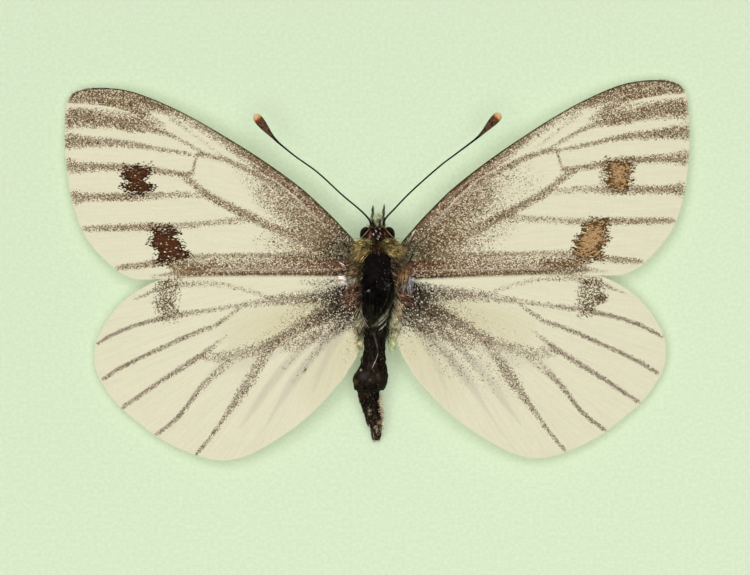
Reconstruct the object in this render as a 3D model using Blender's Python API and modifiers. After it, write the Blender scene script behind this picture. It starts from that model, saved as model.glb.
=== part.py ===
"""A spread white butterfly, dried, lying upper side up on its folded legs.

+X is the butterfly's right in the picture, +Y points to the head and +Z up. The origin is
under the middle of the wingspan, on the surface that the legs and the abdomen's tip touch.
All sizes below are millimetres, and MM turns them into Blender's metres.
"""

import math

import bmesh
import bpy
from mathutils import Matrix, Vector
from mathutils.geometry import delaunay_2d_cdt

MM = 0.001

# ---------------------------------------------------------------- wings
HALF_SPAN = 22.0            # middle of the body to a forewing's outer margin
WING_THICKNESS = 0.12
WING_ROOT_Z = 2.9           # height of the hindwing's root
WING_DROOP = 2.1            # fall of a wing's sheet at HALF_SPAN from the droop's centre
DROOP_CENTRE_Y = 1.5
DROOP_POWER = 1.5
FOREWING_LIFT = 0.28        # the forewing lies this far above the hindwing
VEIN_RIDGE = 0.04           # veins stand up, and the cells between them sink, by this much
MARGIN_STEP = 0.80          # spacing of the points along a wing's margin
CELL_STEP = 1.45            # spacing of the points between the veins
CELL_CLEARANCE = 0.52       # least distance of such a point from a vein or the margin

# Each wing is drawn once, for the right side, about its hinge. The left wing is its mirror
# image. The specimen isn't set quite evenly, so each side is turned and moved a little.
FOREWING = {
    "hinge": (1.8, 0.8),
    "turn_deg": 1.03,
    "shift": (0.055, -0.115),
    "stretch": 0.0057,
    "margin": (
        # costa, from the root to the apex
        (1.45, 1.70), (1.95, 2.45), (3.05, 3.65), (4.75, 5.20), (6.75, 6.80), (9.10, 8.45),
        (11.60, 10.00), (14.30, 11.50), (17.00, 12.65), (19.00, 13.05), (20.60, 13.08),
        (21.45, 12.75), (21.85, 12.00),
        # outer margin and the hind corner
        (22.00, 10.30), (22.00, 8.40), (21.80, 6.50), (21.50, 4.80), (20.80, 2.85),
        (19.85, 1.50), (18.95, 0.60), (18.10, -0.08), (17.00, -0.48),
        # rear margin, back to the root
        (15.40, -0.47), (13.50, -0.38), (10.50, -0.34), (7.00, -0.38), (3.50, -0.48),
        (1.38, -0.50), (1.31, 0.20), (1.29, 1.00),
    ),
    "veins": (
        # radius and its last branch
        ((2.60, 2.20), (5.30, 4.60), (8.60, 6.90), (10.60, 7.85), (12.60, 8.50)),
        ((11.60, 8.20), (14.30, 9.75), (16.60, 10.37), (19.20, 10.95), (21.20, 11.15)),
        # medial veins and the end of the cell
        ((12.60, 8.50), (14.60, 8.70), (16.80, 9.17), (19.00, 9.43), (21.20, 9.50)),
        ((12.60, 8.50), (12.82, 7.60), (13.40, 6.90)),
        ((13.40, 6.90), (15.20, 7.33), (18.00, 7.64), (21.20, 7.69)),
        # cubital stem and its branches
        ((2.60, 0.95), (5.00, 1.65), (7.30, 2.72), (9.20, 3.95), (11.95, 5.55), (13.40, 6.90)),
        ((11.95, 5.55), (14.50, 5.53), (18.00, 5.50), (20.90, 5.53)),
        ((9.20, 3.95), (11.00, 3.62), (14.20, 3.32), (17.50, 3.28), (20.20, 3.30)),
        # last cubital vein and the anal vein
        ((4.80, 1.20), (7.50, 0.95), (11.50, 1.20), (15.50, 0.75), (18.20, 0.52)),
    ),
}
HINDWING = {
    "hinge": (1.6, -1.4),
    "turn_deg": 0.455,
    "shift": (0.12, 0.055),
    "stretch": 0.0038,
    "margin": (
        # costa, under the forewing
        (1.42, -0.62), (2.60, 0.05), (4.50, 0.50), (7.00, 0.72), (10.00, 0.60), (13.00, 0.20),
        (15.50, -0.55), (16.90, -1.20),
        # outer margin
        (18.00, -1.98), (18.80, -2.80), (19.50, -3.85), (20.03, -4.95), (20.15, -6.10),
        (19.92, -7.20), (19.35, -8.25), (18.40, -9.45), (17.30, -10.40), (16.10, -11.35),
        (14.90, -12.10), (13.60, -12.70), (12.20, -13.18), (10.90, -13.32), (9.60, -13.05),
        (8.20, -12.40), (6.90, -11.60), (5.75, -10.80), (4.60, -9.80),
        # inner margin, beside the abdomen
        (3.75, -8.93), (3.15, -8.25), (2.62, -7.65), (2.20, -7.00), (1.76, -6.30), (1.42, -5.60),
        (1.22, -5.00), (1.20, -4.20), (1.28, -3.30), (1.36, -2.40), (1.38, -1.50),
    ),
    "veins": (
        # subcosta, and the radius with the first medial vein
        ((2.40, -0.75), (5.50, -0.95), (8.60, -1.00), (11.30, -0.80), (15.40, -1.15), (17.50, -2.10)),
        ((2.40, -1.30), (5.20, -1.75), (8.20, -2.15), (10.10, -2.45)),
        ((10.10, -2.45), (12.60, -2.70), (15.55, -3.26), (17.50, -3.75), (19.20, -4.60)),
        ((10.10, -2.45), (11.40, -3.60), (13.80, -4.45), (16.50, -5.70), (18.90, -7.05)),
        # the end of the cell, and the branches that leave it
        ((11.40, -3.60), (11.40, -4.90), (11.10, -6.10)),
        ((11.40, -4.90), (13.00, -6.07), (15.70, -7.80), (17.60, -9.15)),
        ((2.60, -2.45), (5.70, -3.90), (8.40, -5.35), (11.10, -6.10)),
        ((11.10, -6.10), (12.80, -8.20), (14.05, -9.95), (15.35, -11.10)),
        ((8.40, -5.35), (9.15, -7.45), (10.50, -9.35), (12.60, -12.30)),
        # folds behind the cell
        ((2.30, -2.90), (5.85, -6.05), (7.75, -8.00), (9.90, -11.00)),
        ((2.10, -3.30), (4.20, -5.60), (6.55, -8.30), (8.60, -11.70)),
    ),
}

# ---------------------------------------------------------------- body
BODY_SIDES = 20
HEAD_SIDES = 18

# Each station across the body: y, middle x, half width, middle z, half height
HEAD = (
    (1.93, 0.03, 0.42, 2.42, 0.42),
    (2.08, 0.03, 0.66, 2.45, 0.58),
    (2.40, 0.03, 0.80, 2.48, 0.68),
    (2.75, 0.03, 0.76, 2.48, 0.66),
    (3.00, 0.03, 0.56, 2.45, 0.52),
    (3.14, 0.03, 0.30, 2.42, 0.30),
)
THORAX = (
    (1.88, 0.03, 0.48, 2.42, 0.48),
    (1.70, 0.03, 0.80, 2.48, 0.82),
    (1.30, 0.03, 1.08, 2.55, 1.20),
    (0.60, 0.05, 1.26, 2.60, 1.55),
    (-0.40, 0.06, 1.31, 2.56, 1.72),
    (-1.50, 0.08, 1.31, 2.50, 1.72),
    (-2.50, 0.06, 1.24, 2.45, 1.55),
    (-3.40, 0.00, 1.08, 2.40, 1.26),
    (-4.10, -0.07, 0.88, 2.36, 1.02),
    (-4.50, -0.13, 0.62, 2.34, 0.76),
)
# The abdomen has shrivelled: it swells, steps in, and its tip bends back to the middle.
ABDOMEN = (
    (-4.56, -0.15, 0.60, 2.33, 0.74),
    (-4.72, -0.16, 0.78, 2.30, 0.88),
    (-5.50, -0.16, 0.80, 2.22, 0.90),
    (-5.62, -0.17, 0.76, 2.20, 0.86),
    (-6.30, -0.23, 0.91, 2.08, 0.98),
    (-6.45, -0.25, 0.88, 2.05, 0.95),
    (-7.05, -0.33, 1.10, 1.92, 1.08),
    (-7.55, -0.45, 1.26, 1.80, 1.14),
    (-8.05, -0.49, 1.21, 1.66, 1.10),
    (-8.42, -0.55, 1.06, 1.55, 1.00),
    (-8.52, -0.60, 0.82, 1.48, 0.82),
    (-9.15, -0.55, 0.73, 1.28, 0.76),
    (-9.27, -0.52, 0.69, 1.24, 0.72),
    (-10.00, -0.36, 0.65, 1.02, 0.66),
    (-10.12, -0.32, 0.61, 0.99, 0.62),
    (-10.85, -0.14, 0.57, 0.78, 0.56),
    (-11.02, -0.06, 0.44, 0.72, 0.46),
    (-11.45, -0.06, 0.40, 0.56, 0.42),
    (-11.80, -0.07, 0.31, 0.37, 0.36),
    (-12.02, -0.06, 0.14, 0.26, 0.20),
)

EYE_CENTRE = (0.80, 2.50, 2.46)      # from the head's own middle, on its right side
EYE_RADII = (0.44, 0.56, 0.60)
HEAD_MIDDLE_X = 0.03
SOCKET_MARGIN = 0.03
EYE_SEGMENTS = 16
EYE_RINGS = 10

# ---------------------------------------------------------------- head's appendages
TUBE_RESOLUTION = 2         # a tube of this resolution has 8 sides
TUBE_WELD = 0.001           # points of a tube and its end caps that are nearer than this are one
# Each antenna: point and radius, from the head outward. The club is near the end.
LEFT_ANTENNA = (
    (-0.41, 3.05, 2.87, 0.105), (-0.55, 3.55, 3.08, 0.080), (-1.20, 4.24, 3.18, 0.068),
    (-2.46, 5.30, 3.28, 0.066), (-4.15, 6.85, 3.30, 0.066), (-5.70, 7.97, 3.24, 0.066),
    (-6.85, 8.90, 3.15, 0.075), (-7.42, 9.48, 3.09, 0.130), (-7.78, 9.90, 3.05, 0.220),
    (-8.06, 10.25, 3.02, 0.290), (-8.32, 10.58, 2.99, 0.285), (-8.50, 10.83, 2.97, 0.210),
    (-8.58, 10.96, 2.96, 0.110),
)
RIGHT_ANTENNA = (
    (0.47, 3.05, 2.87, 0.105), (0.57, 3.58, 3.08, 0.080), (1.20, 4.28, 3.18, 0.068),
    (2.46, 5.58, 3.28, 0.066), (4.37, 7.27, 3.30, 0.066), (5.56, 8.18, 3.24, 0.066),
    (6.90, 9.19, 3.15, 0.075), (7.45, 9.70, 3.09, 0.130), (7.82, 10.10, 3.05, 0.220),
    (8.12, 10.42, 3.02, 0.290), (8.40, 10.72, 2.99, 0.285), (8.58, 10.92, 2.97, 0.210),
    (8.66, 11.02, 2.96, 0.110),
)
LEFT_PALP = (
    (-0.22, 3.22, 2.20, 0.13), (-0.27, 3.55, 2.36, 0.14), (-0.29, 3.95, 2.58, 0.11),
    (-0.29, 4.30, 2.74, 0.07), (-0.28, 4.50, 2.80, 0.04),
)
RIGHT_PALP = (
    (0.30, 3.22, 2.20, 0.13), (0.39, 3.55, 2.36, 0.14), (0.45, 3.95, 2.58, 0.11),
    (0.48, 4.30, 2.74, 0.07), (0.49, 4.50, 2.80, 0.04),
)
# The proboscis is a flat coil, hung under the front of the head.
COIL_CENTRE = (0.03, 3.14, 1.56)
COIL_OUTER_RADIUS = 0.40
COIL_INNER_RADIUS = 0.10
COIL_TURNS = 1.75
COIL_POINTS = 22
COIL_TUBE = (0.075, 0.045)           # radius at the head's end and at the tip

# ---------------------------------------------------------------- legs
# Points of the right leg and radius, from the coxa to the claws. The left leg mirrors it.
LEGS = {
    "front_leg": (
        (0.42, 0.98, 1.15, 0.15), (0.95, 1.42, 0.92, 0.13), (1.55, 1.78, 0.84, 0.10),
        (1.98, 1.40, 0.50, 0.08), (2.28, 1.05, 0.16, 0.07), (2.60, 1.25, 0.07, 0.06),
        (3.10, 1.62, 0.06, 0.05),
    ),
    "middle_leg": (
        (0.50, -0.55, 0.80, 0.17), (1.20, -0.30, 0.76, 0.14), (2.10, -0.15, 0.80, 0.11),
        (2.52, -0.80, 0.46, 0.08), (2.86, -1.35, 0.13, 0.07), (3.20, -1.65, 0.07, 0.06),
        (3.72, -2.05, 0.06, 0.05),
    ),
    "hind_leg": (
        (0.46, -2.32, 0.84, 0.17), (1.10, -2.75, 0.84, 0.14), (1.86, -3.20, 0.80, 0.11),
        (2.10, -3.90, 0.46, 0.08), (2.26, -4.55, 0.13, 0.07), (2.52, -4.95, 0.07, 0.06),
        (2.92, -5.45, 0.06, 0.05),
    ),
}

COLOURS = {
    "wing": (0.80, 0.76, 0.60),
    "body": (0.045, 0.036, 0.030),
    "eye": (0.10, 0.075, 0.045),
    "antenna": (0.09, 0.055, 0.035),
    "leg": (0.30, 0.25, 0.17),
}
ROUGHNESS = {"wing": 0.85, "body": 0.8, "eye": 0.3, "antenna": 0.6, "leg": 0.7}


def clear_scene():
    for obj in list(bpy.data.objects):
        bpy.data.objects.remove(obj, do_unlink=True)


def new_collection(name):
    collection = bpy.data.collections.new(name)
    bpy.context.scene.collection.children.link(collection)
    return collection


def make_materials():
    materials = {}
    for name, colour in COLOURS.items():
        material = bpy.data.materials.new(name)
        material.use_nodes = True
        shader = material.node_tree.nodes["Principled BSDF"]
        shader.inputs["Base Color"].default_value = (*colour, 1.0)
        shader.inputs["Roughness"].default_value = ROUGHNESS[name]
        shader.inputs["Metallic"].default_value = 0.0
        materials[name] = material
    return materials


class Maker:
    """Adds finished meshes to the specimen's collection, under one empty."""

    def __init__(self):
        self.parts = new_collection("butterfly")
        self.cutters = new_collection("cutters")
        self.materials = make_materials()
        self.root = bpy.data.objects.new("butterfly_root", None)
        self.parts.objects.link(self.root)

    def add(self, name, bm, material, place=(0.0, 0.0, 0.0), smooth=True):
        """Turn a bmesh in millimetres into an object that stands at place."""
        bmesh.ops.scale(bm, vec=Vector((MM, MM, MM)), verts=bm.verts)
        mesh = bpy.data.meshes.new(name)
        bm.to_mesh(mesh)
        bm.free()
        if smooth:
            mesh.shade_smooth()
        mesh.materials.append(self.materials[material])
        obj = bpy.data.objects.new(name, mesh)
        obj.location = Vector(place) * MM
        obj.parent = self.root
        self.parts.objects.link(obj)
        return obj


# ---------------------------------------------------------------- wings
def wing_height(x, y):
    """Height of a wing's sheet above the surface: it falls away from the body."""
    distance = math.hypot(x, y - DROOP_CENTRE_Y)
    return WING_ROOT_Z - WING_DROOP * (distance / HALF_SPAN) ** DROOP_POWER


def smooth_loop(points, step):
    """Points at about the given step along a closed Catmull-Rom curve through the points."""
    count = len(points)
    loop = []
    for index in range(count):
        before, start, end, after = (Vector(points[(index + k) % count]) for k in (-1, 0, 1, 2))
        pieces = max(1, round((end - start).length / step))
        for piece in range(pieces):
            t = piece / pieces
            loop.append(0.5 * (
                2.0 * start
                + t * (end - before)
                + t * t * (2.0 * before - 5.0 * start + 4.0 * end - after)
                + t ** 3 * (3.0 * start - before - 3.0 * end + after)
            ))
    return loop


def inside(point, loop):
    """True if a 2D point is inside a closed loop of points."""
    crossings = False
    for index, end in enumerate(loop):
        start = loop[index - 1]
        if (start.y > point.y) != (end.y > point.y):
            across = start.x + (point.y - start.y) * (end.x - start.x) / (end.y - start.y)
            if point.x < across:
                crossings = not crossings
    return crossings


def distance_to_path(point, path):
    nearest = math.inf
    for start, end in zip(path, path[1:]):
        along = end - start
        t = max(0.0, min(1.0, (point - start).dot(along) / along.length_squared))
        nearest = min(nearest, (point - start - t * along).length)
    return nearest


def cell_points(loop, veins):
    """A triangular grid of points in the cells, clear of the veins and the margin."""
    closed = loop + loop[:1]
    low_x, high_x = min(p.x for p in loop), max(p.x for p in loop)
    low_y, high_y = min(p.y for p in loop), max(p.y for p in loop)
    row_step = CELL_STEP * math.sqrt(3.0) / 2.0
    points = []
    for row in range(int((high_y - low_y) / row_step) + 1):
        y = low_y + row * row_step
        for column in range(int((high_x - low_x) / CELL_STEP) + 1):
            point = Vector((low_x + (column + 0.5 * (row % 2)) * CELL_STEP, y))
            if not inside(point, loop):
                continue
            if min(distance_to_path(point, path) for path in [closed] + veins) > CELL_CLEARANCE:
                points.append(point)
    return points


def wing_sheet(wing):
    """Flat triangles of a right wing, and how far each point lies above the smooth sheet."""
    loop = smooth_loop(wing["margin"], MARGIN_STEP)
    veins = [[Vector(point) for point in vein] for vein in wing["veins"]]
    points = list(loop)
    lifts = [0.0] * len(loop)
    edges = []
    for vein in veins:
        edges.extend((len(points) + k, len(points) + k + 1) for k in range(len(vein) - 1))
        points.extend(vein)
        lifts.extend([VEIN_RIDGE] * len(vein))
    cells = cell_points(loop, veins)
    points.extend(cells)
    lifts.extend([-VEIN_RIDGE] * len(cells))
    border = list(range(len(loop)))
    inside_faces = 1
    tolerance = 1e-4
    verts, _, faces, origins, _, _ = delaunay_2d_cdt(
        points, edges, [border], inside_faces, tolerance)
    heights = [max((lifts[k] for k in origin), default=VEIN_RIDGE) for origin in origins]
    return verts, faces, heights


def make_wing(maker, name, wing, lift, side):
    """A wing as a thin solid; side is 1 for the right wing and -1 for the left."""
    verts, faces, heights = wing_sheet(wing)
    hinge = Vector(wing["hinge"])
    shift = Vector(wing["shift"]) * side
    scale = 1.0 + side * wing["stretch"]
    turn = Matrix.Rotation(math.radians(wing["turn_deg"]) * side, 2)
    bm = bmesh.new()
    placed = []
    for vert, height in zip(verts, heights):
        at = hinge + shift + turn @ (vert - hinge) * scale
        place_z = wing_height(at.x, at.y) + lift + height
        placed.append(bm.verts.new((side * at.x, at.y, place_z)))
    for face in faces:
        bm.faces.new([placed[k] for k in face])
    bm.normal_update()
    downward = [face for face in bm.faces if face.normal.z < 0.0]
    bmesh.ops.reverse_faces(bm, faces=downward)
    origin = Vector((side * hinge.x, hinge.y, wing_height(*hinge) + lift))
    bmesh.ops.translate(bm, vec=-origin, verts=bm.verts)
    obj = maker.add(name, bm, "wing", origin, smooth=False)
    shell = obj.modifiers.new("thickness", "SOLIDIFY")
    shell.thickness = WING_THICKNESS * MM
    shell.offset = 0.0
    return obj


# ---------------------------------------------------------------- body
def loft(stations, sides):
    """A closed body through elliptic rings across the Y axis."""
    bm = bmesh.new()
    rings = []
    for y, x, half_width, z, half_height in stations:
        shape = (
            Matrix.Translation((x, y, z))
            @ Matrix.Diagonal((half_width, 1.0, half_height, 1.0))
            @ Matrix.Rotation(math.pi / 2.0, 4, "X")
        )
        ring = bmesh.ops.create_circle(bm, cap_ends=False, segments=sides, radius=1.0, matrix=shape)
        rings.append(ring["verts"])
    for near, far in zip(rings, rings[1:]):
        edges = [e for e in bm.edges if all(v in near for v in e.verts) or all(v in far for v in e.verts)]
        bmesh.ops.bridge_loops(bm, edges=edges)
    for ring in (rings[0], rings[-1]):
        edges = [e for e in bm.edges if all(v in ring for v in e.verts)]
        bmesh.ops.contextual_create(bm, geom=edges)
    bmesh.ops.recalc_face_normals(bm, faces=bm.faces)
    return bm


def ellipsoid(radii):
    bm = bmesh.new()
    bmesh.ops.create_uvsphere(
        bm, u_segments=EYE_SEGMENTS, v_segments=EYE_RINGS, radius=1.0,
        matrix=Matrix.Diagonal((*radii, 1.0)))
    return bm


def make_head(maker):
    head = maker.add("head", loft(HEAD, HEAD_SIDES), "body")
    for name, side in (("left_eye", -1), ("right_eye", 1)):
        place = (HEAD_MIDDLE_X + side * EYE_CENTRE[0], EYE_CENTRE[1], EYE_CENTRE[2])
        maker.add(name, ellipsoid(EYE_RADII), "eye", place)
        socket = maker.add(
            name + "_socket", ellipsoid([r + SOCKET_MARGIN for r in EYE_RADII]), "eye", place)
        maker.parts.objects.unlink(socket)
        maker.cutters.objects.link(socket)
        socket.display_type = "WIRE"
        socket.hide_render = True
        cut = head.modifiers.new(name + "_socket", "BOOLEAN")
        cut.operation = "DIFFERENCE"
        cut.solver = "EXACT"
        cut.object = socket


def make_trunk(maker):
    maker.add("thorax", loft(THORAX, BODY_SIDES), "body")
    maker.add("abdomen", loft(ABDOMEN, BODY_SIDES), "body")


# ---------------------------------------------------------------- antennae, palps, legs
def make_tube(maker, name, points, material):
    """A tube with flat closed ends through points of (x, y, z, radius)."""
    curve = bpy.data.curves.new(name, "CURVE")
    curve.dimensions = "3D"
    curve.bevel_depth = MM
    curve.bevel_resolution = TUBE_RESOLUTION
    curve.use_fill_caps = True
    spline = curve.splines.new("POLY")
    spline.points.add(len(points) - 1)
    for target, (x, y, z, radius) in zip(spline.points, points):
        target.co = (x * MM, y * MM, z * MM, 1.0)
        target.radius = radius
    guide = bpy.data.objects.new(name + "_curve", curve)
    maker.parts.objects.link(guide)
    bpy.context.view_layer.update()
    evaluated = guide.evaluated_get(bpy.context.evaluated_depsgraph_get())
    mesh = bpy.data.meshes.new_from_object(evaluated)
    bm = bmesh.new()
    bm.from_mesh(mesh)
    bpy.data.objects.remove(guide, do_unlink=True)
    bpy.data.meshes.remove(mesh)
    bmesh.ops.scale(bm, vec=Vector((1.0 / MM,) * 3), verts=bm.verts)
    bmesh.ops.remove_doubles(bm, verts=bm.verts, dist=TUBE_WELD)
    return maker.add(name, bm, material)


def coil_points():
    """Points of the proboscis, wound inward in the plane between the palps."""
    points = []
    for index in range(COIL_POINTS):
        t = index / (COIL_POINTS - 1)
        radius = COIL_OUTER_RADIUS + (COIL_INNER_RADIUS - COIL_OUTER_RADIUS) * t
        angle = math.pi / 2.0 - 2.0 * math.pi * COIL_TURNS * t
        points.append((
            COIL_CENTRE[0],
            COIL_CENTRE[1] + radius * math.cos(angle),
            COIL_CENTRE[2] + radius * math.sin(angle),
            COIL_TUBE[0] + (COIL_TUBE[1] - COIL_TUBE[0]) * t,
        ))
    return points


def make_appendages(maker):
    make_tube(maker, "left_antenna", LEFT_ANTENNA, "antenna")
    make_tube(maker, "right_antenna", RIGHT_ANTENNA, "antenna")
    make_tube(maker, "left_palp", LEFT_PALP, "body")
    make_tube(maker, "right_palp", RIGHT_PALP, "body")
    make_tube(maker, "proboscis", coil_points(), "antenna")


def make_legs(maker):
    for name, points in LEGS.items():
        for prefix, side in (("left_", -1), ("right_", 1)):
            mirrored = [(side * x, y, z, radius) for x, y, z, radius in points]
            make_tube(maker, prefix + name, mirrored, "leg")


def main():
    clear_scene()
    maker = Maker()
    make_head(maker)
    make_trunk(maker)
    for name, wing, lift in (("hindwing", HINDWING, 0.0), ("forewing", FOREWING, FOREWING_LIFT)):
        for prefix, side in (("left_", -1), ("right_", 1)):
            make_wing(maker, prefix + name, wing, lift, side)
    make_appendages(maker)
    make_legs(maker)


main()
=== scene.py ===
"""A dried white butterfly, set with its wings spread, seen straight from above.

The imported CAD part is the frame. Every piece is made in millimetres, in the CAD's own axes:
+X is the butterfly's right in the picture, +Y points to its head and +Z up. MM turns
millimetres into Blender's metres.
"""

import math

import bpy
import numpy as np
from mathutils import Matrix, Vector
from mathutils.geometry import delaunay_2d_cdt


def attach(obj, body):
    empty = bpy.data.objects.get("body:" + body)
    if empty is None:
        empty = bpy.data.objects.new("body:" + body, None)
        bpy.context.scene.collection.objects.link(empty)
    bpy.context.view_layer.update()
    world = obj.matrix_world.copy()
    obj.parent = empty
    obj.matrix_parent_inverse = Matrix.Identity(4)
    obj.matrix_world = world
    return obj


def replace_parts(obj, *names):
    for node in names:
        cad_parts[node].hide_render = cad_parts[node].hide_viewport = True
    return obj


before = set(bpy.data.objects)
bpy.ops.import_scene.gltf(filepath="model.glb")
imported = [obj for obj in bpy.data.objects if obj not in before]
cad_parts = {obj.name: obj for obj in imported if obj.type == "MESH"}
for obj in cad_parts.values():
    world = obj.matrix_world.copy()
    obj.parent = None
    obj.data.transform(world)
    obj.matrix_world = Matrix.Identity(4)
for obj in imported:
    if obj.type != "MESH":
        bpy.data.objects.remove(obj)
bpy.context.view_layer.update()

MM = 0.001

# ---------------------------------------------------------------- picture, camera and light
PICTURE_SIZE = (750.0, 575.0)
PIXELS_PER_MM = 14.2
ORIGIN_PIXEL = (377.0, 270.2)        # where the specimen's origin lies in the picture
CAMERA_DISTANCE = 600.0              # above the height that is in true scale
TRUE_SCALE_Z = 2.0
SENSOR_WIDTH = 36.0
FLOOR_SIZE = 1200.0
FLOOR_COLOUR = (218, 235, 202)
SKY_STRENGTH = 0.10
FILL_STRENGTH = 1.20                 # an even light that casts no shadow
FILL_ANGLE_DEG = 60.0
LAMP_COUNT = 8                       # soft lamps in a ring above the specimen
LAMP_STRENGTH = 1.81                 # of all of them together
LAMP_ANGLE_DEG = 24.0                # how large one lamp looks
LAMP_TILT = 0.45                     # a lamp stands this far to the side, for each unit of height
LAMP_SHIFT = (-0.10, 0.06)           # and the ring's middle this far to -X and +Y

# ---------------------------------------------------------------- wings, as in the CAD
HALF_SPAN = 22.0
WING_ROOT_Z = 2.9
WING_DROOP = 2.1
DROOP_CENTRE_Y = 1.5
DROOP_POWER = 1.5
FOREWING_LIFT = 0.28

GRID_STEP = 0.092                    # spacing of a wing's points
GRID_CLEARANCE = 0.6                 # grid points keep this share of a step from the margin
EDGE_FADE = 0.35                     # a wing has its full thickness and relief this far from the margin
EDGE_THICKNESS = 0.035
WING_THICKNESS = 0.075
VEIN_THICKNESS = 0.040               # more at a vein
VEIN_HALF_WIDTH = 0.085
VEIN_RIDGE = 0.035                   # veins stand up, and the cells between them sink, by this
CELL_HALF_WIDTH = 0.75
RIPPLE = 0.018                       # height of the sheet's slow, uneven waves
LINE_FADE = (0.06, 0.15)             # the dark line along the leading edge, and the painted shadow along the forewing's rear edge, end at these depths
FRINGE_FADE = 0.14                   # within this of the fringe, dusky scales thin out to half
FRINGE_INSET = 0.05                  # the membrane ends this far inside the CAD's margin
FRINGE_STEP = 0.036
FRINGE_LENGTH = (0.11, 0.19)
FRINGE_RADIUS = 0.020
FRINGE_CORNERS = ((1.0, 0.25), (-1.0, 0.25), (0.0, -0.4))
FRINGE_RINGS = ((0.0, 0.8), (0.45, 1.0), (1.0, 0.0))    # share of the length, and share of the radius
FRINGE_SWAY = 0.16
FRINGE_RISE = 0.02

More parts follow.
